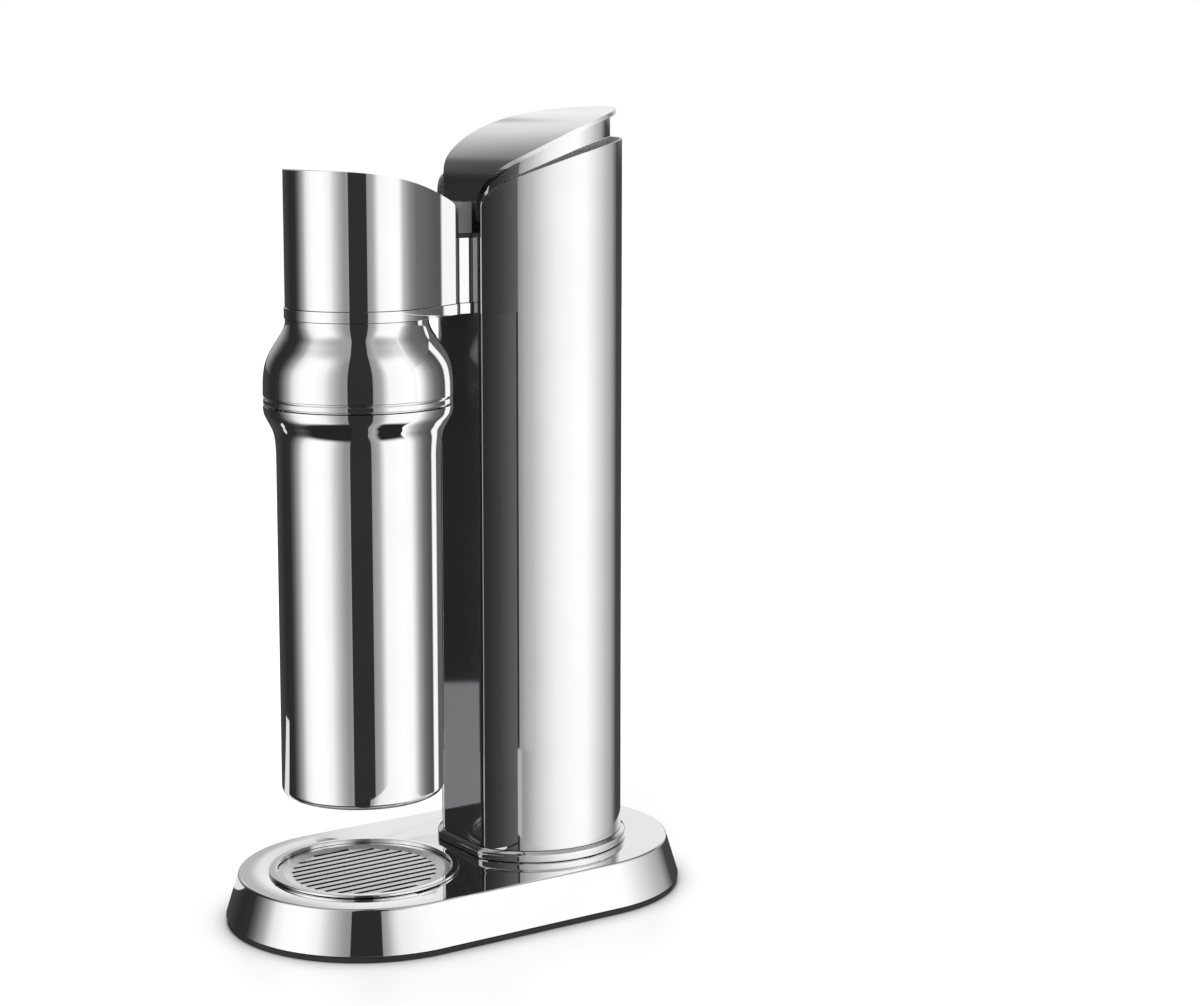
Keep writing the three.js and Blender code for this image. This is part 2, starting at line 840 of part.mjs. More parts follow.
function leverArm() {
  const blockFront = columnY - blockRadius;
  const outline = [
    point(pivotY - armEye * 0.6, pivotZ + armEye * 0.7),
    point(pivotY + armEye * 0.7, pivotZ - armEye * 0.6),
    point(blockFront - armEye * 1.1, pivotZ + armEye * 1.2),
    point(blockFront - armEye * 0.3, blockTop + armEye * 1.7),
    point(columnY + noseRadius, noseZ - noseRadius * 0.2),
    point(columnY + noseRadius, leverCeiling()),
    point(pivotY - armEye * 0.6, leverCeiling()),
  ];
  const ceiling = leverPlateThick + gap + webThick + gap;
  const under = sideSlab(underCurve(leverCurve, ceiling, 0), -armHalf, armHalf);
  const cheeks = both((side) => {
    const edges = sorted(side * armHalf, side * (armHalf - armWall));
    return sideSlab(outline, ...edges).intersect(under)
      .add(rodAlongX(pivotY, pivotZ, armEye, ...edges));
  });
  const nose = rodAlongX(columnY, noseZ, noseRadius, -armHalf, armHalf, roundSides);
  const boreHalf = armHalf + cutOver;
  const bore = rodAlongX(pivotY, pivotZ, pivotRadius + boreGap, -boreHalf, boreHalf);
  return cheeks.add(nose).subtract(bore);
}

function leverPin() {
  return rodAlongX(pivotY, pivotZ, pivotRadius, -pivotHalf, pivotHalf);
}

// Gas cylinder group

function cylinderProfile(inset) {
  const r = cylinderRadius - inset;
  const low = cylinderBottom + inset;
  const corner = cylinderCorner - inset;
  const neck = inset > 0 ? neckBore : neckRadius;
  const side = (r - neck) / 2;
  const height = shoulderEnd - shoulderStart;
  const points = [point(0, low), ...arc(r - corner, low + corner, corner, -90, 0, cornerSteps)];
  const steps = inset > 0 ? cornerSteps : curveSteps;
  for (let i = 0; i <= steps; i += 1) {
    const turn = (Math.PI * i) / steps;
    points.push(point(neck + side * (1 + Math.cos(turn)), shoulderStart - inset + (height * i) / steps));
  }
  return points;
}

function gasCylinder() {
  const over = neckTop + cutOver;
  const outer = [...cylinderProfile(0), point(neckRadius, neckTop), point(0, neckTop)];
  const inner = [...cylinderProfile(cylinderWall), point(neckBore, over), point(0, over)];
  return turned(outer, columnY, roundSides).subtract(turned(inner, columnY, roundSides));
}

function cylinderGasket() {
  const low = neckTop + gap;
  return rod(0, columnY, gasketRadius, low, low + gasketThick, roundSides)
    .subtract(rod(0, columnY, neckBore + gap, low - cutOver, low + gasketThick + cutOver, roundSides));
}

function cylinderValve() {
  const lowerTop = valveBottom + valveLowerHeight;
  const flangeTop = lowerTop + valveFlangeHeight;
  const outline = [
    point(0, neckTop - valveSpigotDepth),
    point(neckBore - gap, neckTop - valveSpigotDepth),
    point(neckBore - gap, valveBottom),
    point(valveLowerRadius - valveGroove, valveBottom),
    point(valveLowerRadius, valveBottom + valveLowerHeight * 0.5),
    point(valveLowerRadius - valveGroove, valveBottom + valveLowerHeight * 0.56),
    point(valveLowerRadius, valveBottom + valveLowerHeight * 0.66),
    point(valveLowerRadius, lowerTop),
    point(valveFlangeRadius, lowerTop),
    point(valveFlangeRadius, flangeTop),
    point(valveThreadRadius - valveGroove, flangeTop),
    point(valveThreadRadius - valveGroove, valveTop - 4 * valveLip),
    point(valveThreadRadius, valveTop - 3 * valveLip),
    point(valveThreadRadius, valveTop - valveLip),
    point(valveThreadRadius - valveLip, valveTop),
    point(0, valveTop),
  ];
  const boreBottom = valveTop - pinLength - pinRoom;
  const bore = rod(0, columnY, pinRadius + boreGap, boreBottom, valveTop + cutOver);
  return turned(outline, columnY, roundSides).subtract(bore);
}

function valvePin() {
  return rod(0, columnY, pinRadius, valveTop - pinSink - pinLength, valveTop - pinSink);
}

// Valve block and plunger group

function valveBlock() {
  const threadRoom = valveThreadRadius + runGap;
  const seatTop = valveTop + sealThick + 2 * gap;
  const outletEnd = columnY - blockRadius + outletDepth;
  const whole = rod(0, columnY, blockRadius, blockBottom, blockTop, roundSides);
  const socket = rod(0, columnY, threadRoom, blockBottom - cutOver, valveTop + gap, roundSides);
  const sealSeat = rod(0, columnY, sealRadius + boreGap, valveTop, seatTop, roundSides);
  const bore = rod(0, columnY, plungerRadius + boreGap, valveTop, blockTop + cutOver);
  const outlet = rodAlongY(0, blockFittingZ, fittingBoreRadius() + boreGap, columnFlatY, outletEnd);
  return whole.subtract(unite([socket, sealSeat, bore, outlet]));
}

function valveSeal() {
  const low = valveTop + gap;
  return rod(0, columnY, sealRadius, low, low + sealThick, roundSides)
    .subtract(rod(0, columnY, plungerRadius + 2 * boreGap, low - cutOver, low + sealThick + cutOver));
}

function plunger() {
  return rod(0, columnY, plungerRadius, plungerBottom, plungerTop)
    .add(rod(0, columnY, plungerHeadRadius, plungerTop - plungerHeadHeight, plungerTop, roundSides));
}

function plungerSpring() {
  const low = blockTop + gap + springWire;
  const high = plungerTop - plungerHeadHeight - gap - springWire;
  const points = [];
  const steps = springTurns * partSides;
  for (let i = 0; i <= steps; i += 1) {
    const turn = (springTurns * 2 * Math.PI * i) / steps;
    const height = low + ((high - low) * i) / steps;
    points.push(new THREE.Vector3(
      springRadius * Math.cos(turn),
      columnY + springRadius * Math.sin(turn),
      height,
    ));
  }
  return tubeAlong(points, springWire, springSides, steps);
}

function topBracket() {
  const frontY = channelY + channelWall + gap;
  const legRear = frontY + legThick;
  const plateTop = blockBottom - gap;
  const plateBottom = plateTop - bracketPlate;
  const plateFront = columnY - blockRadius - bracketWall;
  const plateRear = columnY + bracketRear;
  const legTop = channelTop - gap;
  const leg = box(-bracketHalf, bracketHalf, frontY, legRear, bracketBottom, legTop);
  const plate = box(-bracketHalf, bracketHalf, plateFront, plateRear, plateBottom, plateTop);
  const cheekRear = plateFront + earRadius * 0.8;
  const cheek = [
    point(frontY, bracketBottom),
    point(frontY + earRadius * 0.8, bracketBottom),
    point(pivotY + earRadius * 1.8, plateBottom - earRadius * 2.4),
    point(cheekRear, plateBottom - earRadius * 0.8),
    point(cheekRear, plateTop),
    point(pivotY + earRadius, plateTop),
    point(pivotY + earRadius, pivotZ),
    point(pivotY - earRadius, pivotZ),
    point(pivotY - earRadius, legTop),
    point(frontY, legTop),
  ];
  const cheeks = both((side) => {
    const edges = sorted(side * bracketHalf, side * (bracketHalf - bracketWall));
    return sideSlab(cheek, ...edges).add(rodAlongX(pivotY, pivotZ, earRadius, ...edges));
  });
  const pinBore = rodAlongX(pivotY, pivotZ, pivotRadius + boreGap, -columnRadius, columnRadius);
  const valveHole = rod(
    0,
    columnY,
    valveThreadRadius + 2 * runGap,
    plateBottom - cutOver,
    plateTop + cutOver,
    roundSides,
  );
  const windowHalf = hoseRadius * 2;
  const windowTop = legTop - bracketPlate;
  const hoseWindow = box(
    -windowHalf,
    windowHalf,
    columnFlatY,
    legRear + cutOver,
    hoseZ - windowHalf,
    windowTop,
  );
  const bores = bracketScrewSpots().map(([x, z]) => (
    rodAlongY(x, z, screwRadius + boreGap, columnFlatY, legRear + cutOver, smallSides)
  ));
  return unite([leg, plate, cheeks]).subtract(unite([pinBore, valveHole, hoseWindow, ...bores]));
}

function fittingBoreRadius() {
  return fittingRadius - fittingShoulder;
}

// Barbed fitting that runs along Y; its flange stands in front of the face it screws into.
function hoseFitting(z, faceY, into) {
  const flangeEnds = sorted(faceY - into * gap / 2, faceY - into * fittingFlange);
  const stemEnds = sorted(faceY + into * fittingDepth, faceY - into * fittingLength);
  const far = 2 * fittingLength;
  return rodAlongY(0, z, fittingRadius, ...flangeEnds)
    .add(rodAlongY(0, z, fittingBoreRadius(), ...stemEnds))
    .subtract(rodAlongY(0, z, hoseBore, faceY - far, faceY + far, smallSides));
}

function gasHose() {
  const start = columnY - blockRadius - fittingLength - gap;
  const end = bottleY + nozzleRadius + fittingLength + gap;
  const spots = [
    [start, blockFittingZ],
    [start - hoseBend * 0.4, blockFittingZ],
    [start - hoseBend, blockFittingZ - hoseBend],
    [start - hoseBend * 1.1, blockFittingZ - hoseBend * 3],
    [start - hoseBend * 1.6, blockFittingZ - hoseBend * 5],
    [pivotY + hoseBend * 0.1, hoseZ + hoseBend],
    [pivotY - hoseBend * 1.8, hoseZ + hoseBend * 0.2],
    [columnFlatY - hoseBend, hoseZ],
    [(columnFlatY + end) / 2, hoseZ],
    [end, hoseZ],
  ];
  const points = spots.map(([y, z]) => new THREE.Vector3(0, y, z));
  return tubeAlong(points, hoseRadius, smallSides, roundSides);
}

// Head group

// Falls gently from front to rear and turns down in a round corner to the neck.
function headSide(inset, bottom) {
  const front = bottleY - headRadius - cutOver;
  const cornerY = bottleY + headRearY - headRearCorner;
  const cornerZ = headRearTop - headRearCorner;
  const turn = radians(headCornerTurn);
  const run = cornerY + headRearCorner * Math.cos(turn) - front;
  const fall = headFrontTop - cornerZ - headRearCorner * Math.sin(turn);
  const top = [];
  for (let i = 0; i <= curveSteps; i += 1) {
    const part = i / curveSteps;
    const drop = fall * part - 4 * headSag * part * (1 - part);
    top.push(point(front + run * part, headFrontTop - inset - drop));
  }
  const corner = arc(cornerY, cornerZ, headRearCorner - inset, headCornerTurn, 0, cornerSteps);
  const rearY = columnFlatY - gap + (inset > 0 ? cutOver : 0);
  return [
    point(front, bottom),
    point(rearY, bottom),
    point(rearY, lipZ - inset),
    point(bottleY + headRearY - inset, lipZ - inset),
    ...corner.reverse(),
    ...top.slice(0, -1).reverse(),
  ];
}

function headShell() {
  const rearY = columnFlatY - bottleY + cutOver;
  const half = headRadius + cutOver;
  const over = headFrontTop + cutOver;
  const outer = prism(headOutline(0, rearY), headBottom, over)
    .intersect(sideSlab(headSide(0, headBottom - cutOver), -half, half));
  const inner = prism(headOutline(headWall, rearY + cutOver), headBottom - cutOver, over)
    .intersect(sideSlab(headSide(headWall, headBottom - 2 * cutOver), -half, half));
  const bossRoom = prism(headOutline(headWall / 2, rearY), headBottom, headFrontTop);
  const bossTop = headRearTop + 3 * headWall;
  const bosses = both((side) => rod(side * bossReach, bottleY, bossRadius, beamTop() + gap, bossTop))
    .intersect(bossRoom);
  const bores = both((side) => (
    rod(side * bossReach, bottleY, screwRadius + boreGap, headBottom, beamTop() + screwBite, smallSides)
  ));
  const lipLow = lipZ - headWall - cutOver;
  const lipBore = rod(0, blockScrewY(), screwRadius + boreGap, lipLow, lipZ + cutOver, smallSides);
  return outer.subtract(inner).add(bosses).subtract(bores).subtract(lipBore);
}

function beamTop() {
  return beamBottom + beamThick;
}

function headRing() {
  const low = headBottom - gap - ringHeight;
  const rearY = columnFlatY - bottleY - gap;
  const behind = rearY + cutOver;
  const band = prism(headOutline(-ringOut, rearY), low, low + ringHeight)
    .subtract(prism(headOutline(ringWall, behind), low - cutOver, headBottom + cutOver));
  const lipOuter = headWall + gap;
  const lipTop = headBottom + upstandHeight;
  const lip = prism(headOutline(lipOuter, rearY), low + ringHeight - cutOver, lipTop)
    .subtract(prism(headOutline(lipOuter + ringLip, behind), low - cutOver, lipTop + cutOver));
  return band.add(lip);
}

function neckPad() {
  const front = bottleY + headRearY + gap;
  const half = neckHalf - gap;
  const low = lipZ + gap;
  const pad = box(-half, half, front, columnFlatY - gap, low, low + neckPadThick);
  const boreTop = low + neckPadThick + cutOver;
  return pad.subtract(rod(0, blockScrewY(), screwRadius + boreGap, lipZ, boreTop, smallSides));
}

function blockScrewY() {
  return (bottleY + hingeBlockFront + columnFlatY) / 2;
}

function hingeBlock() {
  const low = lipZ + 2 * gap + neckPadThick;
  const front = bottleY + hingeBlockFront;
  const cornerZ = hingeBlockTop - hingeBlockCorner;
  const outline = [
    point(front, low),
    ...arc(front + hingeBlockCorner, cornerZ, hingeBlockCorner, 180, 90, cornerSteps + 2),
    point(columnFlatY - gap, hingeBlockTop),
    point(columnFlatY - gap, low),
  ];
  const bore = rod(0, blockScrewY(), screwRadius + boreGap, low - cutOver, low + screwBite, smallSides);
  return sideSlab(outline, -neckHalf, neckHalf).subtract(bore);
}

// Nozzle group

function headBeam() {
  const top = beamTop();
  const over = top + cutOver;
  const disc = rod(0, bottleY, beamDiscRadius, beamBottom, top, roundSides);
  const ears = both((side) => rod(side * bossReach, bottleY, earHalf, beamBottom, top)
    .add(box(
      ...sorted(side * beamDiscRadius / 2, side * bossReach),
      bottleY - earHalf,
      bottleY + earHalf,
      beamBottom,
      top,
    )));
  const rearY = channelY - gap;
  const behind = rearY + cutOver;
  const beamFront = bottleY + nozzleRadius + beamSpare;
  const flangeFront = columnFlatY - beamFlangeOut;
  const boreFront = columnFlatY - cutOver;
  const beam = box(-beamHalf, beamHalf, beamFront, rearY, beamBottom, beamBottom + beamRise);
  const flange = box(
    -beamFlangeHalf,
    beamFlangeHalf,
    flangeFront,
    rearY,
    beamFlangeBottom,
    beamFlangeTop,
  );
  const hoseHole = rodAlongY(0, hoseZ, hoseRadius + hoseRoom, boreFront, behind);
  const flangeBores = beamScrewSpots().map(([x, z]) => (
    rodAlongY(x, z, screwRadius + boreGap, boreFront, behind, smallSides)
  ));
  const upBores = [bossReach, socketScrewReach()].map((reach) => both((side) => (
    rod(side * reach, bottleY, screwRadius + boreGap, 0, over, smallSides)
  )));
  const middle = rod(0, bottleY, spigotRadius + boreGap, 0, over, roundSides);
  return unite([disc, ears, beam, flange])
    .subtract(unite([hoseHole, ...flangeBores, ...upBores, middle]));
}

function socketScrewReach() {
  return nozzleRadius + screwHeadRadius + screwHeadHeight;
}

function nozzleBody() {
  const low = beamTop() + gap;
  const over = nozzleTop + cutOver;
  const inletEnd = bottleY + nozzleRadius + cutOver;
  const seatRadius = reliefStemRadius + gap;
  const body = rod(0, bottleY, nozzleRadius, low, nozzleTop, roundSides);
  const spigot = rod(0, bottleY, spigotRadius, beamBottom - beamThick / 2, low + gap, roundSides);
  const bore = rod(0, bottleY, nozzleBore, beamBottom - cutOver, hoseZ + fittingDepth);
  const inlet = rodAlongY(0, hoseZ, fittingBoreRadius() + boreGap, bottleY, inletEnd);
  const reliefSeat = rod(0, bottleY - reliefBack, seatRadius, nozzleTop - reliefDepth, over);
  return body.add(spigot).subtract(unite([bore, inlet, reliefSeat]));
}

function reliefValve() {
  const low = nozzleTop + gap;
  const y = bottleY - reliefBack;
  const nut = rod(0, y, reliefRadius, low, low + reliefNutHeight, 6);
  const cap = rod(0, y, reliefCapRadius, low + gap, low + reliefHeight);
  const stem = rod(0, y, reliefStemRadius, nozzleTop - reliefDepth + gap, low + gap);
  return unite([nut, cap, stem]);
}

function nozzleTube() {
  const top = beamTop();
  return rod(0, bottleY, tubeRadius, tubeBottom, top, smallSides)
    .subtract(rod(0, bottleY, tubeBore, tubeBottom - cutOver, top + cutOver, smallSides));
}

function nozzleTip() {
  const top = tubeBottom + tipHeight / 2;
  const tip = rod(0, bottleY, tipRadius, top - tipHeight, top);
  const seat = rod(0, bottleY, tubeRadius + gap / 2, tubeBottom - gap, top + cutOver, smallSides);
  return tip.subtract(seat).subtract(rod(0, bottleY, tipBore, 0, top, smallSides));
}

function bottleSocket() {
  const high = beamBottom - gap;
  const over = high + cutOver;
  const sealRoom = high - sealThick - 2 * runGap;
  const ring = rod(0, bottleY, socketRadius, socketBottom, high, roundSides);
  const mouthBore = rod(0, bottleY, mouthRadius + runGap, socketBottom - cutOver, sealRoom, roundSides);
  const sealBore = rod(0, bottleY, mouthRadius + boreGap, socketBottom, over, roundSides);
  const screwBores = both((side) => (
    rod(side * socketScrewReach(), bottleY, screwRadius + boreGap, high - screwLength, over, smallSides)
  ));
  return ring.subtract(unite([mouthBore, sealBore, screwBores]));
}

function bottleSeal() {
  const high = beamBottom - gap;
  return rod(0, bottleY, mouthRadius, high - sealThick - gap, high, roundSides)
    .subtract(rod(0, bottleY, spigotRadius + boreGap, high - cutOver * 2, high + cutOver, roundSides));
}

// Bottle group

function bottleSide(inset) {
  const r = bottleRadius - inset;
  const low = bottleBottom + inset;
  const corner = bottleCorner - inset;
  const out = bulgeRadius - bottleRadius;
  const rise = seamBottom - gap - flareStart;
  const flare = (outPart, risePart) => point(r + out * outPart, flareStart + rise * risePart);
  return [
    point(0, low),
    ...arc(r - corner, low + corner, corner, -90, 0, cornerSteps),
    flare(0, 0),
    flare(0.08, 0.25),
    flare(0.24, 0.44),
    flare(0.61, 0.65),
    flare(0.93, 0.82),
    flare(1, 1),
  ];
}

function bottleBody() {
  const top = seamBottom - gap;
  const over = top + cutOver;
  const outer = [...bottleSide(0), point(0, top)];
  const inner = [...bottleSide(bottleWall), point(bulgeRadius - bottleWall, over), point(0, over)];
  return turned(outer, bottleY, fineSides).subtract(turned(inner, bottleY, fineSides));
}

function bottleSeam() {
  const groove = bulgeRadius - seamDepth;
  const inner = bulgeRadius - bottleWall - 2 * seamDepth;
  const height = seamTop - seamBottom;
  return turned([
    point(inner, seamBottom),
    point(groove, seamBottom),
    point(groove, seamBottom + height * 0.13),
    point(bulgeRadius - seamDepth * 0.13, seamBottom + height * 0.2),
    point(bulgeRadius - seamDepth * 0.07, seamBottom + height * 0.74),
    point(groove, seamBottom + height * 0.82),
    point(groove, seamTop),
    point(inner, seamTop),
  ], bottleY, fineSides);
}

function shoulderSide(inset) {
  const low = seamTop + gap;
  const drawn = bulgeRadius - bottleNeckRadius;
  const rise = bottleNeckTop - low;
  const side = (inPart, risePart) => point(bulgeRadius - inset - drawn * inPart, low + rise * risePart);
  return [
    point(bulgeRadius - inset, low - (inset > 0 ? cutOver : 0)),
    side(0, 0.05),
    side(0.08, 0.23),
    side(0.14, 0.43),
    side(0.32, 0.54),
    side(0.63, 0.71),
    side(0.88, 0.84),
    side(1, 0.92),
    point(bottleNeckRadius - inset, bottleNeckTop - inset),
  ];
}

function bottleShoulder() {
  const low = seamTop + gap;
  const bore = mouthRadius - mouthWall;
  const outer = turned([
    point(0, low),
    ...shoulderSide(0),
    point(mouthRadius, bottleNeckTop),
    point(mouthRadius, mouthTop),
    point(0, mouthTop),
  ], bottleY, fineSides);
  const inner = turned([
    point(0, low - cutOver),
    ...shoulderSide(bottleWall),
    point(bore, bottleNeckTop - bottleWall),
    point(bore, mouthTop + cutOver),
    point(0, mouthTop + cutOver),
  ], bottleY, fineSides);
  return outer.subtract(inner);
}

// Assembly

addPiece('base_shell', baseShell(), 'chrome');
addPiece('base_plate', basePlate(), 'steel');
addPiece('foot_ring', footRing(), 'rubber');
basePostSpots().forEach(([x, y], i) => {
  addPiece(`base_screw_${i + 1}`, screwUp(x, y, footHeight + gap, screwLength), 'steel');
});
addPiece('drip_tray', dripTray(), 'chrome');
addPiece('drip_grille', dripGrille(), 'satin');
addPiece('column_foot', columnFoot(), 'chrome');
addPiece('column_shell', columnShell(), 'chrome');
addPiece('front_panel', frontPanel(), 'darkMirror');
addPiece('frame_channel', frameChannel(), 'steel');
frameScrewSpots().forEach(([x, y], i) => {
  addPiece(`frame_screw_${i + 1}`, screwDown(x, y, baseTop + gap + channelWall, screwLength), 'steel');
});
addPiece('cylinder_guide', cylinderGuide(), 'blackPlastic');
addPiece('guide_screw', screwForwards(...guideScrewSpot(), guideHeadY(), guideHeadY() - channelY), 'steel');
addPiece('cylinder_pad', cylinderPad(), 'rubber');
addPiece('top_bracket', topBracket(), 'steel');
bracketScrewSpots().forEach(([x, z], i) => {
  const legRear = channelY + channelWall + gap + legThick;
  addPiece(`bracket_screw_${i + 1}`, screwForwards(x, z, legRear, shortScrewLength), 'steel');
});
addPiece('valve_block', valveBlock(), 'brass');
addPiece('valve_seal', valveSeal(), 'rubber');
addPiece('plunger', plunger(), 'steel');
addPiece('plunger_spring', plungerSpring(), 'steel');
addPiece('lever_plate', leverPlate(), 'chrome');
addPiece('lever_skirt', leverSkirt(), 'chrome');
addPiece('lever_arm', leverArm(), 'steel');
addPiece('lever_pin', leverPin(), 'steel');
addPiece('gas_cylinder', gasCylinder(), 'blackGloss');
addPiece('cylinder_gasket', cylinderGasket(), 'white');
addPiece('cylinder_valve', cylinderValve(), 'brass');
addPiece('valve_pin', valvePin(), 'steel');
addPiece('block_fitting', hoseFitting(blockFittingZ, columnY - blockRadius, 1), 'brass');
addPiece('gas_hose', gasHose(), 'blackPlastic');
addPiece('nozzle_fitting', hoseFitting(hoseZ, bottleY + nozzleRadius, -1), 'brass');
addPiece('head_shell', headShell(), 'chrome');
addPiece('head_ring', headRing(), 'chrome');
addPiece('neck_pad', neckPad(), 'rubber');
addPiece('hinge_block', hingeBlock(), 'greyPlastic');
addPiece('block_screw', screwUp(0, blockScrewY(), lipZ - headWall, screwLength), 'steel');
addPiece('head_beam', headBeam(), 'steel');
beamScrewSpots().forEach(([x, z], i) => {
  const flangeFront = columnFlatY - beamFlangeOut;
  addPiece(`beam_screw_${i + 1}`, screwRearwards(x, z, flangeFront, shortScrewLength), 'steel');
});
[1, -1].forEach((side, i) => {
  addPiece(`head_screw_${i + 1}`, screwUp(side * bossReach, bottleY, beamBottom, screwLength), 'steel');
});
addPiece('nozzle_body', nozzleBody(), 'blackPlastic');
addPiece('relief_valve', reliefValve(), 'brass');
addPiece('nozzle_tube', nozzleTube(), 'clear');
addPiece('nozzle_tip', nozzleTip(), 'blackPlastic');
addPiece('bottle_socket', bottleSocket(), 'greyPlastic');
[1, -1].forEach((side, i) => {
  const x = side * socketScrewReach();
  addPiece(`socket_screw_${i + 1}`, screwDown(x, bottleY, beamTop(), screwLength), 'steel');
});
addPiece('bottle_seal', bottleSeal(), 'rubber');
addPiece('bottle_body', bottleBody(), 'chrome');
addPiece('bottle_seam', bottleSeam(), 'satin');
addPiece('bottle_shoulder', bottleShoulder(), 'chrome');

export default group;
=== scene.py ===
import json
from math import acos, asin, atan2, copysign, cos, pi, radians, sin, sqrt, tan

import bmesh
import bpy
from mathutils import Matrix, Vector


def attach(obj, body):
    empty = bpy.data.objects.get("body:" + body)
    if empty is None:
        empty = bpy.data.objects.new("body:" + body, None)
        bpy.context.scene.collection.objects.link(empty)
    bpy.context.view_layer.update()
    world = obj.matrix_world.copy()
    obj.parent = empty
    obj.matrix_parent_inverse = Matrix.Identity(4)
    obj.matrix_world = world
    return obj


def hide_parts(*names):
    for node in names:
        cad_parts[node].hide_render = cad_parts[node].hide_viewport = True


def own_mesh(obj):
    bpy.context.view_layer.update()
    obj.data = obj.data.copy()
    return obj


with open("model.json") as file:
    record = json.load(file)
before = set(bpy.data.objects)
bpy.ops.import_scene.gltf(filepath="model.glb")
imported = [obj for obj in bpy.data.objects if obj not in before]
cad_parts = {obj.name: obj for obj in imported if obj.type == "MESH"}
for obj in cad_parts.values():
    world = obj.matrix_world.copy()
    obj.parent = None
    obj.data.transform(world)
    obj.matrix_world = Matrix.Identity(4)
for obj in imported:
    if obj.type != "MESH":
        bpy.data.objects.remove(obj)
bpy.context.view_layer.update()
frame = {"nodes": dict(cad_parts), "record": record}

mm = 0.001
bottleY = -57.0
columnY = 47.3
columnFlatY = 3.25  # flat front of the column
photoRight = Vector((0.5641, 0.8257, 0))  # level directions, as the photograph sees them
photoNear = Vector((0.8257, -0.5641, 0))
straightUp = Vector((0, 0, 1))
weldGap = 1e-4  # vertices this close become one
rowGap = 1e-3


# outlines, all in millimetres


def filleted(corners, steps=8):  # line of corners, each (x, y) or (x, y, radius)
    points = []
    for i, corner in enumerate(corners):
        here = Vector(corner[:2])
        radius = corner[2] if len(corner) > 2 else 0
        if not radius or i in (0, len(corners) - 1):
            points.append(here)
            continue
        before = (Vector(corners[i - 1][:2]) - here).normalized()
        after = (Vector(corners[i + 1][:2]) - here).normalized()
        half = before.angle(after) / 2
        reach = radius / tan(half)
        centre = here + (before + after).normalized() * (radius / sin(half))
        first = here + before * reach - centre
        last = here + after * reach - centre
        start = atan2(first.y, first.x)
        turned = (atan2(last.y, last.x) - start + pi) % (2 * pi) - pi
        for k in range(steps + 1):
            angle = start + turned * k / steps
            points.append(centre + radius * Vector((cos(angle), sin(angle))))
    return points


def smoothLine(spots, steps=6):  # soft curve through the spots
    spots = [Vector(spot) for spot in spots]
    ends = [2 * spots[0] - spots[1], *spots, 2 * spots[-1] - spots[-2]]
    points = []
    for a, b, c, d in zip(ends, ends[1:], ends[2:], ends[3:]):
        for k in range(steps):
            t = k / steps
            curve = 2 * b + (c - a) * t + (2 * a - 5 * b + 4 * c - d) * t * t
            points.append((curve + (3 * b - a - 3 * c + d) * t ** 3) / 2)
    return points + [spots[-1]]


def repeated(spots, start, step, count):  # the same few spots again at each step up
    return [(x, start + step * k + z) for k in range(count) for x, z in spots]


def risingHeight(shape, inset, y):  # height of a concentric side curve above y
    turned = radians(90 + shape["slope"])
    cornerY = shape["frontY"] + shape["corner"]
    reach = shape["arch"] - shape["corner"]
    archY = cornerY - reach * cos(turned)
    archZ = shape["frontZ"] - reach * sin(turned)
    if y < cornerY + (shape["corner"] - inset) * cos(turned):
        run = min(max(cornerY - y, 0), shape["corner"] - inset)
        return shape["frontZ"] + sqrt((shape["corner"] - inset) ** 2 - run ** 2)
    return archZ + sqrt((shape["arch"] - inset) ** 2 - (y - archY) ** 2)


# mesh steps


def newVerts(made):
    return [item for item in made["geom"] if isinstance(item, bmesh.types.BMVert)]


def edgesWithin(bm, verts):
    return [edge for edge in bm.edges if edge.verts[0] in verts and edge.verts[1] in verts]


def grown(bm, edges, place):  # one more row, pulled out of these edges
    fresh = newVerts(bmesh.ops.extrude_edge_only(bm, edges=edges))
    place(fresh)
    return edgesWithin(bm, set(fresh))


def stacked(bm, ring, section, place, closed=False):  # ring drawn along a section
    place(ring, *section[0])
    first = edgesWithin(bm, set(ring))
    last = first
    for spot in section[1:]:
        last = grown(bm, last, lambda verts: place(verts, *spot))
    if closed:
        bmesh.ops.bridge_loops(bm, edges=first + last)
    return last


def spun(profile, centreY, steps=160):
    bm = bmesh.new()
    verts = [bm.verts.new((spot[0], centreY, spot[1])) for spot in profile]
    edges = []
    for a, b in zip(verts, verts[1:] + verts[:1]):
        if max(a.co.x, b.co.x) > weldGap:  # not along the axis
            edges.append(bm.edges.new((a, b)))
    bmesh.ops.spin(
        bm, geom=verts + edges, cent=(0, centreY, 0), axis=straightUp,
        angle=2 * pi, steps=steps, use_merge=True,
    )
    bmesh.ops.remove_doubles(bm, verts=bm.verts, dist=weldGap)
    return bm


def arcStrip(inner, outer, start, steps=150):  # flat strip round the column's axis, open in front
    bm = bmesh.new()
    way = Vector((cos(start), sin(start), 0))
    ends = [bm.verts.new(Vector((0, columnY, 0)) + way * radius) for radius in (inner, outer)]
    edge = bm.edges.new(ends)
    bmesh.ops.spin(
        bm, geom=[*ends, edge], cent=(0, columnY, 0), axis=straightUp,
        angle=pi - 2 * start, steps=steps,
    )
    return bm


def raised(bm, bottom, top):  # flat plan made a wall between two heights
    lower = list(bm.verts)
    upper = newVerts(bmesh.ops.extrude_face_region(bm, geom=list(bm.faces)))
    for verts, height in ((lower, bottom), (upper, top)):
        for vert in verts:
            vert.co.z = height(vert.co.y)
    return bm


def roofed(stations):  # strip over the y axis; a station is (y, half width, height), front to rear
    bm = bmesh.new()
    bmesh.ops.create_grid(bm, x_segments=1, y_segments=len(stations) - 1, size=1)
    rows = sorted(bm.verts, key=lambda vert: (round(vert.co.y, 6), vert.co.x))
    for i, vert in enumerate(rows):
        y, half, z = stations[i // 2]
        vert.co = (half * copysign(1, vert.co.x), y, z)
    bmesh.ops.remove_doubles(bm, verts=bm.verts, dist=rowGap)
    return bm


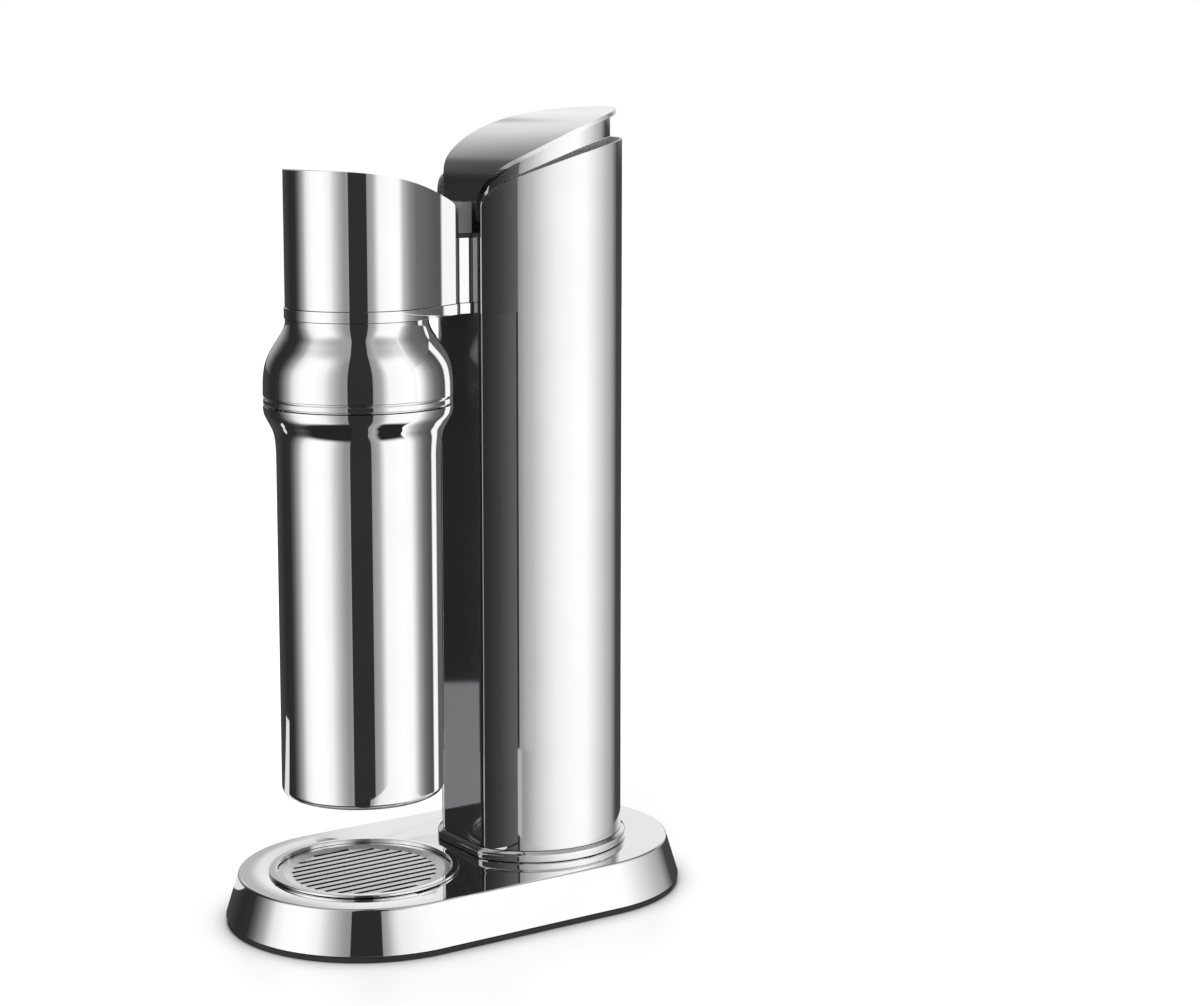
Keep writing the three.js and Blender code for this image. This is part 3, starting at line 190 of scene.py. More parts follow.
def walled(bm, bottom, openY=None):  # sides pulled down from a roof's outline
    rim = [edge for edge in bm.edges if edge.is_boundary]
    if openY is not None:
        rim = [edge for edge in rim if min(vert.co.y for vert in edge.verts) < openY - rowGap]

    def drop(verts):
        for vert in verts:
            vert.co.z = bottom(vert.co.y)

    grown(bm, rim, drop)
    return bm


def linked(name, data):
    thing = bpy.data.objects.new(name, data)
    bpy.context.scene.collection.objects.link(thing)
    return thing


def meshFrom(name, bm):
    mesh = bpy.data.meshes.new(name)
    bm.to_mesh(mesh)
    bm.free()
    return mesh


def softenEdges(piece, width, segments, angle):
    edge = piece.modifiers.new("Edges", "BEVEL")
    edge.width = width * mm
    edge.segments = segments
    edge.limit_method = "ANGLE"
    edge.angle_limit = radians(angle)


finishSettings = {"segments": 3, "edgeAngle": 40, "weight": 80}


def finishPiece(
    name, bm, materials, body, nodes, wall=0, bevel=0, sharp=32, inside=None,
):
    bmesh.ops.remove_doubles(bm, verts=bm.verts, dist=weldGap)
    bmesh.ops.recalc_face_normals(bm, faces=bm.faces)
    if inside:
        for face in bm.faces:
            face.material_index = int(inside(face))
    bmesh.ops.scale(bm, vec=(mm, mm, mm), verts=bm.verts)
    mesh = meshFrom(name, bm)
    for polygon in mesh.polygons:
        polygon.use_smooth = True
    mesh.set_sharp_from_angle(angle=radians(sharp))
    for material in materials:
        mesh.materials.append(material)
    piece = linked(name, mesh)
    if wall:
        thicken = piece.modifiers.new("Wall", "SOLIDIFY")
        thicken.thickness = wall * mm
        thicken.offset = -1
        thicken.use_even_offset = True
        thicken.material_offset = len(materials) - 1
    if bevel:
        softenEdges(piece, bevel, finishSettings["segments"], finishSettings["edgeAngle"])
    weighted = piece.modifiers.new("Normals", "WEIGHTED_NORMAL")
    weighted.keep_sharp = True
    weighted.weight = finishSettings["weight"]
    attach(piece, body)
    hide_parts(*nodes)
    return piece


# shader steps


def feed(tree, socket, value):  # links another node's output, or sets a plain value
    if isinstance(value, bpy.types.NodeSocket):
        tree.links.new(value, socket)
    else:
        socket.default_value = value


def grey(level):
    return level, level, level, 1


def mathNode(tree, operation, *inputs):
    node = tree.nodes.new("ShaderNodeMath")
    node.operation = operation
    for i, value in enumerate(inputs):
        feed(tree, node.inputs[i], value)
    return node.outputs[0]


def times(tree, first, second):
    return mathNode(tree, "MULTIPLY", first, second)


def smoothStep(tree, value, low, high):
    node = tree.nodes.new("ShaderNodeMapRange")
    node.interpolation_type = "SMOOTHSTEP"
    node.inputs["From Min"].default_value = low
    node.inputs["From Max"].default_value = high
    feed(tree, node.inputs["Value"], value)
    return node.outputs["Result"]


def mixColour(tree, share, first, second):
    node = tree.nodes.new("ShaderNodeMix")
    node.data_type = "RGBA"
    for socket, value in ((0, share), (6, first), (7, second)):  # factor and the two colours
        feed(tree, node.inputs[socket], value)
    return node.outputs[2]


def stopsRamp(tree, stops, source):  # brightness along a measure, given as (place, value)
    low, high = stops[0][0], stops[-1][0]
    ramp = tree.nodes.new("ShaderNodeValToRGB")
    elements = ramp.color_ramp.elements
    while len(elements) > 1:
        elements.remove(elements[0])
    for i, (place, value) in enumerate(stops):
        spot = (place - low) / (high - low)
        element = elements[0] if i == 0 else elements.new(spot)
        element.position = spot
        element.color = grey(value)
    along = times(tree, mathNode(tree, "SUBTRACT", source, low), 1 / (high - low))
    tree.links.new(along, ramp.inputs["Fac"])
    return ramp.outputs["Color"]


def newMaterial(name, settings):
    material = bpy.data.materials.new(name)
    material.use_nodes = True
    shader = material.node_tree.nodes["Principled BSDF"]
    for socket, value in settings.items():
        shader.inputs[socket].default_value = value
    return material, material.node_tree, shader


noiseSpread = (0.3, 0.7)  # the part of the noise's range that is used


def addNoise(tree, scale, stretch=(1, 1, 1), detail=4.0):
    coords = tree.nodes.new("ShaderNodeTexCoord")
    mapping = tree.nodes.new("ShaderNodeMapping")
    noise = tree.nodes.new("ShaderNodeTexNoise")
    mapping.inputs["Scale"].default_value = stretch
    noise.inputs["Scale"].default_value = scale
    noise.inputs["Detail"].default_value = detail
    tree.links.new(coords.outputs["Object"], mapping.inputs["Vector"])
    tree.links.new(mapping.outputs["Vector"], noise.inputs["Vector"])
    return noise.outputs["Fac"]


def varyRoughness(tree, shader, source, low, high):
    spread = tree.nodes.new("ShaderNodeMapRange")
    spread.inputs["From Min"].default_value = noiseSpread[0]
    spread.inputs["From Max"].default_value = noiseSpread[1]
    spread.inputs["To Min"].default_value = low
    spread.inputs["To Max"].default_value = high
    tree.links.new(source, spread.inputs["Value"])
    tree.links.new(spread.outputs["Result"], shader.inputs["Roughness"])


def addBump(tree, shader, source, strength, distance):
    bump = tree.nodes.new("ShaderNodeBump")
    bump.inputs["Strength"].default_value = strength
    bump.inputs["Distance"].default_value = distance * mm
    tree.links.new(source, bump.inputs["Height"])
    tree.links.new(bump.outputs["Normal"], shader.inputs["Normal"])


def varyColour(tree, shader, source, dark, light):
    ramp = tree.nodes.new("ShaderNodeValToRGB")
    for element, place, colour in zip(ramp.color_ramp.elements, noiseSpread, (dark, light)):
        element.position = place
        element.color = (*colour, 1)
    tree.links.new(source, ramp.inputs["Fac"])
    tree.links.new(ramp.outputs["Color"], shader.inputs["Base Color"])
    return ramp.outputs["Color"]


# materials

polishSettings = {"smudges": 28, "smudgeDetail": 5.0, "gloss": 9}
# the last two entries set which upright faces take the painted shade of the slot walls
brushSettings = {"lines": 1400, "depth": 0.05, "slotShadeFrom": 0.45, "slotShadeTo": 0.75}
plasticSettings = {"specular": 0.45, "clouds": 60, "depth": 0.06}
paintSettings = {
    "shader": {"Roughness": 0.2, "Coat Weight": 1.0, "Coat Roughness": 0.05},
    "clouds": 90, "peel": 700, "peelStrength": 0.05, "peelDepth": 0.02,
}


def polishedMetal(name, dark, light, roughness, metallic=1.0):
    p = polishSettings
    material, tree, shader = newMaterial(name, {"Metallic": metallic})
    smudges = addNoise(tree, p["smudges"], detail=p["smudgeDetail"])
    varyColour(tree, shader, smudges, dark, light)
    varyRoughness(tree, shader, addNoise(tree, p["gloss"]), *roughness)
    return material


def brushedMetal(name, dark, light, roughness, stretch, bump, metallic=1.0, wall=None):
    b = brushSettings
    material, tree, shader = newMaterial(name, {"Metallic": metallic})
    lines = addNoise(tree, b["lines"], stretch)
    face = varyColour(tree, shader, lines, dark, light)
    varyRoughness(tree, shader, lines, *roughness)
    addBump(tree, shader, lines, bump, b["depth"])
    if wall:  # painted shade: upright slot walls coloured near black, standing in for the shade inside the slots
        coords = tree.nodes.new("ShaderNodeTexCoord")
        split = tree.nodes.new("ShaderNodeSeparateXYZ")
        tree.links.new(coords.outputs["Normal"], split.inputs[0])
        upright = mathNode(tree, "ABSOLUTE", split.outputs[2])
        level = smoothStep(tree, upright, b["slotShadeFrom"], b["slotShadeTo"])
        feed(tree, shader.inputs["Base Color"], mixColour(tree, level, (*wall, 1), face))
    return material


def grainedPlastic(name, dark, light, roughness, scale, bump):
    p = plasticSettings
    material, tree, shader = newMaterial(name, {"Specular IOR Level": p["specular"]})
    grain = addNoise(tree, scale)
    varyColour(tree, shader, addNoise(tree, p["clouds"]), dark, light)
    varyRoughness(tree, shader, grain, *roughness)
    addBump(tree, shader, grain, bump, p["depth"])
    return material


def glossPaint(name, dark, light):
    p = paintSettings
    material, tree, shader = newMaterial(name, p["shader"])
    varyColour(tree, shader, addNoise(tree, p["clouds"]), dark, light)
    addBump(tree, shader, addNoise(tree, p["peel"]), p["peelStrength"], p["peelDepth"])
    return material


acrossSlots = (1, 0.03, 1)  # stretches of the brushed lines
upwards = (1, 1, 0.05)
aroundAxis = (0.1, 0.1, 1)
mirrorSteel = polishedMetal(
    "mirror_steel", dark=(0.90, 0.905, 0.91), light=(0.94, 0.94, 0.945), roughness=(0.03, 0.055),
)
darkMirror = polishedMetal(
    "dark_mirror", dark=(0.195, 0.2, 0.205), light=(0.215, 0.22, 0.225), roughness=(0.04, 0.07),
    metallic=0.8,
)
satinSteel = brushedMetal(
    "satin_steel", dark=(0.66, 0.67, 0.68), light=(0.74, 0.75, 0.76), roughness=(0.24, 0.34),
    stretch=acrossSlots, bump=0.25,
)
# grille steel with painted shade: its upright slot walls are coloured near black
slotShadedSteel = brushedMetal(
    "slot_shaded_steel", dark=(0.9, 0.9, 0.905), light=(0.97, 0.97, 0.975), roughness=(0.26, 0.36),
    stretch=acrossSlots, bump=0.2, wall=(0.05, 0.05, 0.052),
)
liningSteel = brushedMetal(
    "lining_steel", dark=(0.8, 0.8, 0.81), light=(0.84, 0.84, 0.85), roughness=(0.42, 0.46),
    stretch=upwards, bump=0.04, metallic=0.25,
)
innerSteel = brushedMetal(
    "inner_steel", dark=(0.5, 0.51, 0.53), light=(0.62, 0.63, 0.65), roughness=(0.3, 0.42),
    stretch=upwards, bump=0.3,
)
brassMetal = brushedMetal(
    "turned_brass", dark=(0.72, 0.5, 0.17), light=(0.84, 0.62, 0.24), roughness=(0.16, 0.28),
    stretch=aroundAxis, bump=0.2,
)
darkRubber = grainedPlastic(
    "dark_rubber", dark=(0.02, 0.02, 0.022), light=(0.032, 0.032, 0.034), roughness=(0.55, 0.75),
    scale=900, bump=0.35,
)
greyPlastic = grainedPlastic(
    "grey_plastic", dark=(0.15, 0.15, 0.155), light=(0.17, 0.17, 0.175), roughness=(0.36, 0.5),
    scale=1200, bump=0.25,
)
blackPlastic = grainedPlastic(
    "black_plastic", dark=(0.02, 0.02, 0.022), light=(0.03, 0.03, 0.032), roughness=(0.4, 0.55),
    scale=1100, bump=0.25,
)
whitePlastic = grainedPlastic(
    "white_plastic", dark=(0.78, 0.78, 0.76), light=(0.84, 0.84, 0.82), roughness=(0.4, 0.55),
    scale=900, bump=0.2,
)
clearPlastic = grainedPlastic(
    "clear_plastic", dark=(0.6, 0.63, 0.63), light=(0.7, 0.72, 0.72), roughness=(0.2, 0.3),
    scale=500, bump=0.1,
)
blackGloss = glossPaint("black_gloss", dark=(0.006, 0.008, 0.012), light=(0.01, 0.013, 0.019))
print("materials made")

# camera at the photograph's place

cameraSettings = {
    "place": (1.0729, -0.6540, 0.4226), "forward": (-0.8172, 0.5582, -0.1435),
    "sensor": 36, "lens": 72.8, "shift": (0.01728, -0.04323), "clip": 0.05,
}


def makeCamera():
    c = cameraSettings
    data = bpy.data.cameras.new("camera")
    camera = linked("camera", data)
    forward = Vector(c["forward"]).normalized()
    rightWay = forward.cross(straightUp).normalized()
    turned = Matrix((rightWay, rightWay.cross(forward), -forward)).transposed().to_4x4()
    camera.matrix_world = Matrix.Translation(c["place"]) @ turned
    data.sensor_width = c["sensor"]
    data.lens = c["lens"]
    data.shift_x, data.shift_y = c["shift"]
    data.clip_start = c["clip"]
    return camera


bpy.context.scene.camera = makeCamera()
bpy.context.scene.view_settings.view_transform = "Standard"

# base with its tray; a section's spots are (out from the axis, height, rounding)

baseSettings = {
    "span": 54.05, "segments": 146, "wall": 1.6, "edgeFlat": 0.4,
    "section": [(74.0, 3.2), (74.6, 3.25, 0.25), (67.9, 25.4, 1.5), (64.9, 25.4)],
    "holes": [(46.9, bottleY), (31.5, columnY)], "holeSegments": 144,
}
footSettings = {"section": [(66.1, 0), (74.1, 0, 0.4), (74.1, 2.9, 0.4), (66.1, 2.9)]}
traySettings = {
    "section": [
        (0, 9), (43.5, 9, 2), (43.5, 22.4), (46.5, 22.4, 0.4), (46.5, 25.7, 0.2), (49.4, 25.7, 0.2),
        (49.4, 26.9, 0.6), (45.5, 26.9, 0.5), (45.5, 23.3), (42.5, 23.3, 0.4), (42.5, 10, 1.4),
        (0, 10),
    ],
}


def racetrack(bm):  # circle pulled apart into the base's outline
    ring = bmesh.ops.create_circle(bm, radius=1, segments=baseSettings["segments"])["verts"]
    for side in (1, -1):
        half = [vert for vert in ring if vert.co.y * side > 0]
        bmesh.ops.translate(bm, verts=half, vec=(0, side * baseSettings["span"], 0))
    return ring


def racetrackPlace(verts, half, z):
    for vert in verts:
        end = Vector((0, copysign(baseSettings["span"], vert.co.y)))
        vert.co = (*(end + (vert.co.xy - end).normalized() * half), z)


def makeBase():
    b = baseSettings
    section = filleted(b["section"], steps=10)
    top = section[-1].y
    section.insert(-1, Vector((section[-2].x - b["edgeFlat"], top)))
    bm = bmesh.new()
    rim = stacked(bm, racetrack(bm), section, racetrackPlace)
    for radius, y in b["holes"]:
        hole = bmesh.ops.create_circle(
            bm, radius=radius, segments=b["holeSegments"], matrix=Matrix.Translation((0, y, top)),
        )["verts"]
        rim += list({edge for vert in hole for edge in vert.link_edges})
    bmesh.ops.triangle_fill(bm, use_beauty=True, use_dissolve=False, edges=rim)
    finishPiece(
        "base_polished", bm, [mirrorSteel], "stand", ["base_shell"],
        wall=b["wall"],
    )


def makeFootBand():
    bm = bmesh.new()
    section = filleted(footSettings["section"], steps=4)
    stacked(bm, racetrack(bm), section, racetrackPlace, closed=True)
    finishPiece("foot_band", bm, [darkRubber], "stand", ["foot_ring"])


def makeTray():
    bm = spun(filleted(traySettings["section"]), bottleY)
    finishPiece("tray_polished", bm, [mirrorSteel], "tray", ["drip_tray"])


makeBase()
makeFootBand()
makeTray()
print("base made")

# column: foot ring, upstand, lifting shell

rimShape = {
    "frontY": columnFlatY + 0.1, "frontZ": 364.6, "corner": 20.7, "slope": 24.3, "arch": 225,
}
columnSettings = {
    "radius": 48.5, "wall": 1.2, "bottom": 31.3, "halfFlat": 20.3, "bevel": 0.3,
    "hem": 1.3, "hemSegments": 28, "liningIn": 0.5, "liningFacing": -1,
}
ringSettings = {
    "section": [
        (-2.8, 25.7), (2.2, 25.7), (2.6, 26.2, 0.4), (2.6, 29.4, 1.6), (0.4, 31, 0.7), (-2.8, 31),
    ],
    "hollowFrom": -2.7, "hollow": 45.7, "hollowDepth": 42.4, "segments": 150, "flatPoints": 10,
}
upstandSettings = {
    "outer": 46.9, "inner": 45.3, "flat": 35.65, "low": 30.5, "high": 36, "steps": 120,
    "bevel": 0.25,
}


def flatFronted(verts, out, z):  # round outline with the column's flat, grown outwards
    r = ringSettings
    depth, radius = columnY - columnFlatY + out, columnSettings["radius"] + out
    if out < r["hollowFrom"]:
        depth, radius = r["hollowDepth"], r["hollow"]
    count, flatEnd = r["segments"], r["flatPoints"]
    corner = acos(depth / radius)
    for vert in verts:
        turned = atan2(vert.co.x, columnY - vert.co.y)
        n = abs(round(turned * count / (2 * pi)))
        side = copysign(1, turned)
        if n <= flatEnd:
            vert.co = (side * depth * tan(corner) * n / flatEnd, columnY - depth, z)
            continue
        angle = corner + (pi - corner) * (n - flatEnd) / (count / 2 - flatEnd)
        vert.co = (side * radius * sin(angle), columnY - radius * cos(angle), z)


def makeColumnRing():
    r = ringSettings
    bm = bmesh.new()
    ring = bmesh.ops.create_circle(
        bm, radius=columnSettings["radius"], segments=r["segments"],
        matrix=Matrix.Translation((0, columnY, 0)),
    )["verts"]
    stacked(bm, ring, filleted(r["section"], steps=6), flatFronted, closed=True)
    finishPiece("column_ring", bm, [mirrorSteel], "stand", ["column_foot"])


def makeUpstand():  # short inner wall that centres the shell
    u = upstandSettings
    bm = arcStrip(u["inner"], u["outer"], -pi / 2 + acos(u["flat"] / u["outer"]), u["steps"])
    raised(bm, lambda y: u["low"], lambda y: u["high"])
    finishPiece(
        "column_upstand", bm, [innerSteel], "stand", ["column_foot"],
        bevel=u["bevel"],
    )


def shellTop(y):
    return risingHeight(rimShape, 0, max(y, rimShape["frontY"]))


def makeColumnShell():
    c = columnSettings
    reach = c["radius"] - c["hem"]
    start = -pi / 2 + asin(c["halfFlat"] / c["radius"]) + c["hem"] / reach
    bm = arcStrip(c["radius"] - c["wall"], c["radius"], start)
    for side in (1, -1):  # rolled front edges
        hemPlace = (side * reach * cos(start), columnY + reach * sin(start), 0)
        bmesh.ops.create_circle(
            bm, cap_ends=True, radius=c["hem"], segments=c["hemSegments"],
            matrix=Matrix.Translation(hemPlace),
        )
    raised(bm, lambda y: c["bottom"], shellTop)

    def facesInwards(face):
        spot = face.calc_center_median()
        away = Vector((spot.x, spot.y - columnY, 0))
        if away.length >= c["radius"] - c["liningIn"]:
            return False
        return face.normal.dot(away) < c["liningFacing"]

    finishPiece(
        "column_polished", bm, [mirrorSteel, liningSteel], "cover",
        ["column_shell"], bevel=c["bevel"], inside=facesInwards,
    )


makeColumnRing()
makeUpstand()
makeColumnShell()
print("column made")

# lever: rounded top plate on an inset skirt

leverShape = {
    "frontY": columnFlatY + 1.5, "frontZ": 370.1, "corner": 26.8, "slope": 33, "arch": 167.6,
    "cornerSweep": 63, "cornerRows": 14, "archRows": 72,
}
plateSettings = {"inset": 0, "radius": 45.2, "low": 361, "wall": 2.2, "bevel": 0.9}
skirtSettings = {"inset": 2.5, "radius": 42.2, "low": 361.3, "wall": 2, "tuck": 6}


def leverStations(settings):
    shape = leverShape
    inset, radius = settings["inset"], settings["radius"]
    frontY = shape["frontY"] + inset
    wide = sqrt(radius ** 2 - (columnY - frontY) ** 2)
    stations = [(frontY, wide, settings["low"]), (frontY, wide, shape["frontZ"])]
    cornerY = shape["frontY"] + shape["corner"]
    spots = []
    for k in range(1, shape["cornerRows"] + 1):  # round corner, closer steps at the front
        turned = radians(180 - shape["cornerSweep"] * k / shape["cornerRows"])
        spots.append(cornerY + (shape["corner"] - inset) * cos(turned))
    phi = asin((spots[-1] - columnY) / radius)
    for k in range(1, shape["archRows"] + 1):
        spots.append(columnY + radius * sin(phi + (pi / 2 - phi) * k / shape["archRows"]))
    for y in spots:
        half = sqrt(max(radius ** 2 - (y - columnY) ** 2, 0))
        stations.append((y, half, risingHeight(shape, inset, y)))
    return stations


def makeLeverPlate():
    p = plateSettings
    finishPiece(
        "lever_top", roofed(leverStations(p)), [mirrorSteel], "lever",
        ["lever_plate"], wall=p["wall"], bevel=p["bevel"],
    )


def makeLeverSkirt():
    s = skirtSettings
    bm = roofed(leverStations(s)[1:])
    walled(bm, lambda y: max(s["low"], shellTop(y) - s["tuck"]))
    finishPiece(
        "lever_side", bm, [mirrorSteel], "lever", ["lever_skirt"],
        wall=s["wall"],
    )


makeLeverPlate()
makeLeverSkirt()
print("lever made")

# head over the bottle, and the ring under it; y is measured from the bottle's axis

headSettings = {
    "front": 36.3, "side": 75.0, "turn": 11.0, "straight": (27.0, 30.0), "lean": 0.5744,
    "leanOut": 1.15, "backX": 12.6, "backY": 46.6, "back": 4.2, "neck": 13.5, "neckY": 50.8,
    "rows": 40, "rowsEnd": 45.0, "rearY": 59.95, "bottom": 319.4, "wall": 1.6, "bevel": 0.4,
    "topY": -38.3, "topZ": 388, "topFall": 16.49, "topBow": 18.4,
    "corner": 9.0, "cornerY": 41.8, "cornerZ": 363.2, "cornerTurn": 67.4, "cornerRows": 14,
    "lipGap": 0.2, "lipZ": 352.5,
}
headRingSettings = {
    "out": 0.5, "bottom": 313.7, "top": 319.1, "wall": 3.0, "bevel": 0.7, "endReach": 6.3,
    "endRows": 14, "rearY": 59.65,
}


def headHalf(y, out=0.0):  # half width at y
    h = headSettings
    turned = radians(h["turn"])
    shift = h["side"] - h["front"]
    front, side = h["front"] + out, h["side"] + out
    straightX, straightY = h["straight"]
    if y <= front * sin(turned):
        return sqrt(max(front ** 2 - y ** 2, 0))
    if y <= straightY:
        return sqrt(side ** 2 - (y + shift * sin(turned)) ** 2) - shift * cos(turned)
    if y <= h["backY"] + h["back"] / 2:
        return straightX + out * h["leanOut"] - h["lean"] * (y - straightY)
    back = h["back"] + out
    return max(h["backX"] + sqrt(max(back ** 2 - (y - h["backY"]) ** 2, 0)), h["neck"] + out)


def headTop(y):
    h = headSettings
    topEnd = h["cornerY"] + h["corner"] * cos(radians(h["cornerTurn"]))
    if y <= topEnd:
        part = (y - h["topY"]) / (topEnd - h["topY"])
        return h["topZ"] - h["topFall"] * part + h["topBow"] * part * (1 - part)
    return h["cornerZ"] + sqrt(max(h["corner"] ** 2 - (y - h["cornerY"]) ** 2, 0))


def headRows(out):
    count, end = headSettings["rows"], headSettings["rowsEnd"]
    front = headSettings["front"] + out
    rows = [-front * cos(pi / 2 * k / count) for k in range(count + 1)]
    return rows + [end * k / count for k in range(1, count + 1)]


def makeHead():
    h = headSettings
    rows = headRows(0)
    for k in range(h["cornerRows"], -1, -1):
        turned = radians(h["cornerTurn"] * k / h["cornerRows"])
        rows.append(h["cornerY"] + h["corner"] * cos(turned))
    stations = [(bottleY + y, headHalf(y), headTop(y)) for y in rows]
    for y in (h["neckY"] + h["lipGap"], h["rearY"]):
        stations.append((bottleY + y, h["neck"], h["lipZ"]))
    bm = walled(roofed(stations), lambda y: h["bottom"], openY=bottleY + h["rearY"])
    finishPiece(
        "head_polished", bm, [mirrorSteel], "stand", ["head_shell"],
        wall=h["wall"], bevel=h["bevel"],
    )


def makeHeadRing():
    r = headRingSettings
    rows = headRows(r["out"])
    for k in range(1, r["endRows"] + 1):
        rows.append(headSettings["rowsEnd"] + r["endReach"] * sin(pi / 2 * k / r["endRows"]))
    rows.append(r["rearY"])
    bm = roofed([(bottleY + y, headHalf(y, r["out"]), r["top"]) for y in rows])
    roof = list(bm.faces)
    walled(bm, lambda y: r["bottom"], openY=bottleY + r["rearY"])
    bmesh.ops.delete(bm, geom=roof, context="FACES")
    finishPiece(
        "head_band", bm, [mirrorSteel], "stand", ["head_ring"],
        wall=r["wall"], bevel=r["bevel"],
    )


makeHead()
makeHeadRing()
print("head made")

# bottle

bottleSettings = {
    "radius": 41.9, "bottom": 68, "corner": 4, "wall": 1.2, "straightZ": 240,
    "flare": [
        (41.9, 240), (41.95, 246), (42.4, 251.9), (43.4, 256.6), (45.5, 261.0), (47.5, 265.0),
        (48.1, 268.2), (48.1, 269.7),
    ],
    "seam": [
        (43.9, 270), (46.8, 270, 0.2), (46.8, 270.6, 0.2), (48, 270.9, 0.3), (48, 273.4, 0.3),
        (46.8, 273.7, 0.2), (46.8, 274.5, 0.2), (43.9, 274.5),
    ],
    "shoulder": [
        (48.1, 274.8), (48.1, 277), (47.9, 283.5), (46.9, 290.2), (44.6, 296), (40.9, 302.2),
        (37.9, 307), (36.45, 310.6), (36.3, 313.4),
    ],
    "neck": [(36.3, 313.4), (15.2, 313.4, 0.8), (15.2, 327.3, 0.5), (12.8, 327.3, 0.5)],
    "ceiling": [(12.8, 312.2), (35.1, 312.2)],
}


def thinned(line, wall):
    return [Vector((spot[0] - wall, spot[1])) for spot in line]


def makeBottleBody():
    b = bottleSettings
    radius, bottom, wall, straight = b["radius"], b["bottom"], b["wall"], b["straightZ"]
    flare = smoothLine(b["flare"])
    outer = filleted([(0, bottom), (radius, bottom, b["corner"]), (radius, straight)], steps=12)
    inner = filleted([
        (0, bottom + wall), (radius - wall, bottom + wall, b["corner"] - wall),
        (radius - wall, straight),
    ])
    profile = outer[:-1] + flare + (inner[:-1] + thinned(flare, wall))[::-1]
    finishPiece(
        "bottle_lower", spun(profile, bottleY), [mirrorSteel], "bottle",
        ["bottle_body"],
    )


def makeBottleSeam():
    bm = spun(filleted(bottleSettings["seam"], steps=4), bottleY)
    finishPiece("bottle_band", bm, [mirrorSteel], "bottle", ["bottle_seam"])


def makeBottleShoulder():
    b = bottleSettings
    side = smoothLine(b["shoulder"])
    outer = side + filleted(b["neck"], steps=5)[1:]
    inner = [Vector(spot) for spot in b["ceiling"]] + thinned(side[:-1], b["wall"])[::-1]
    finishPiece(
        "bottle_upper", spun(outer + inner, bottleY), [mirrorSteel], "bottle",
        ["bottle_shoulder"],
    )


makeBottleBody()
makeBottleSeam()
makeBottleShoulder()
print("bottle made")

# gas cylinder inside the column

cylinderSettings = {
    "radius": 30, "neck": 15, "shoulderZ": 280.4, "shoulder": 40, "shoulderRows": 28, "steps": 128,
    "lower": [(0, 22), (30, 22, 9), (30, 280)],
    "upper": [(15, 320.4), (15, 339.4, 0.8), (9.2, 339.4), (9.2, 336), (0, 336)],
}
valveSettings = {
    "foot": [(0, 327.4), (8.7, 327.4), (8.7, 341.4), (13.6, 341.4), (14, 341.8)],
    "groove": [(14, 0), (13.4, 0.3), (13.4, 0.7), (14, 1)],
    "grooveZ": 344, "grooveStep": 2.9, "grooves": 3,
    "flange": [(14, 352.6), (13.6, 353), (12, 353), (12, 355)],
    "thread": [(9.5, 0), (10.2, 0.8), (10.2, 1.1), (9.5, 1.9)],
    "threadZ": 355.4, "threadStep": 2.0, "threads": 6,
    "mouth": [
        (9.7, 368), (10.2, 369), (10.2, 371.2), (9.4, 372), (2.6, 372), (2.6, 353), (0, 353),
    ],
    "steps": 96, "sharp": 25,
}
gasketSettings = {
    "section": [(9.3, 339.7), (14.6, 339.7, 0.5), (14.6, 341.1, 0.5), (9.3, 341.1)], "steps": 96,
}
springSettings = {
    "coil": 4.6, "wire": 0.45, "sides": 8, "turns": 3, "steps": 96, "low": 381.75, "high": 388.0,
    "foot": 381.3, "keep": 0.47,
}


def makeGasCylinder():
    c = cylinderSettings
    profile = filleted(c["lower"], steps=10)
    fall = (c["radius"] - c["neck"]) / 2
    for k in range(c["shoulderRows"] + 1):  # round shoulder that runs into the neck
        part = k / c["shoulderRows"]
        out = c["neck"] + fall * (1 + cos(pi * part))
        profile.append(Vector((out, c["shoulderZ"] + c["shoulder"] * part)))
    profile += filleted(c["upper"], steps=4)[1:]
    finishPiece(
        "cylinder_painted", spun(profile, columnY, c["steps"]), [blackGloss], "cylinder",
        ["gas_cylinder"],
    )


def makeCylinderValve():
    v = valveSettings
    profile = v["foot"] + repeated(v["groove"], v["grooveZ"], v["grooveStep"], v["grooves"])
    profile += v["flange"] + repeated(v["thread"], v["threadZ"], v["threadStep"], v["threads"])
    finishPiece(
        "valve_turned", spun(profile + v["mouth"], columnY, v["steps"]), [brassMetal], "cylinder",
        ["cylinder_valve"], sharp=v["sharp"],
    )


def makeGasket():
    g = gasketSettings
    bm = spun(filleted(g["section"], steps=4), columnY, g["steps"])
    finishPiece(
        "gasket_ring", bm, [whitePlastic], "cylinder", ["cylinder_gasket"],
    )


def makePlungerSpring():  # coiled wire spring, given a mesh of its own
    s = springSettings
    bm = bmesh.new()
    wirePlace = Matrix.Translation((s["coil"], columnY, s["low"]))
    bmesh.ops.create_circle(
        bm, segments=s["sides"], radius=s["wire"],
        matrix=wirePlace @ Matrix.Rotation(pi / 2, 4, "X"),
    )
    bmesh.ops.spin(
        bm, geom=[*bm.verts, *bm.edges], cent=(0, columnY, 0), axis=straightUp,
        angle=2 * pi * s["turns"], steps=s["steps"],
        dvec=(0, 0, (s["high"] - s["low"]) / s["steps"]),
    )
    bmesh.ops.holes_fill(bm, edges=[edge for edge in bm.edges if edge.is_boundary])
    piece = finishPiece(
        "coiled_spring", bm, [innerSteel], "stand", ["plunger_spring"],
    )
    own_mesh(piece)


makeGasCylinder()
makeCylinderValve()
makeGasket()
makePlungerSpring()
print("gas cylinder and plunger spring made")

# pieces kept from the CAD model: finish and softened edges

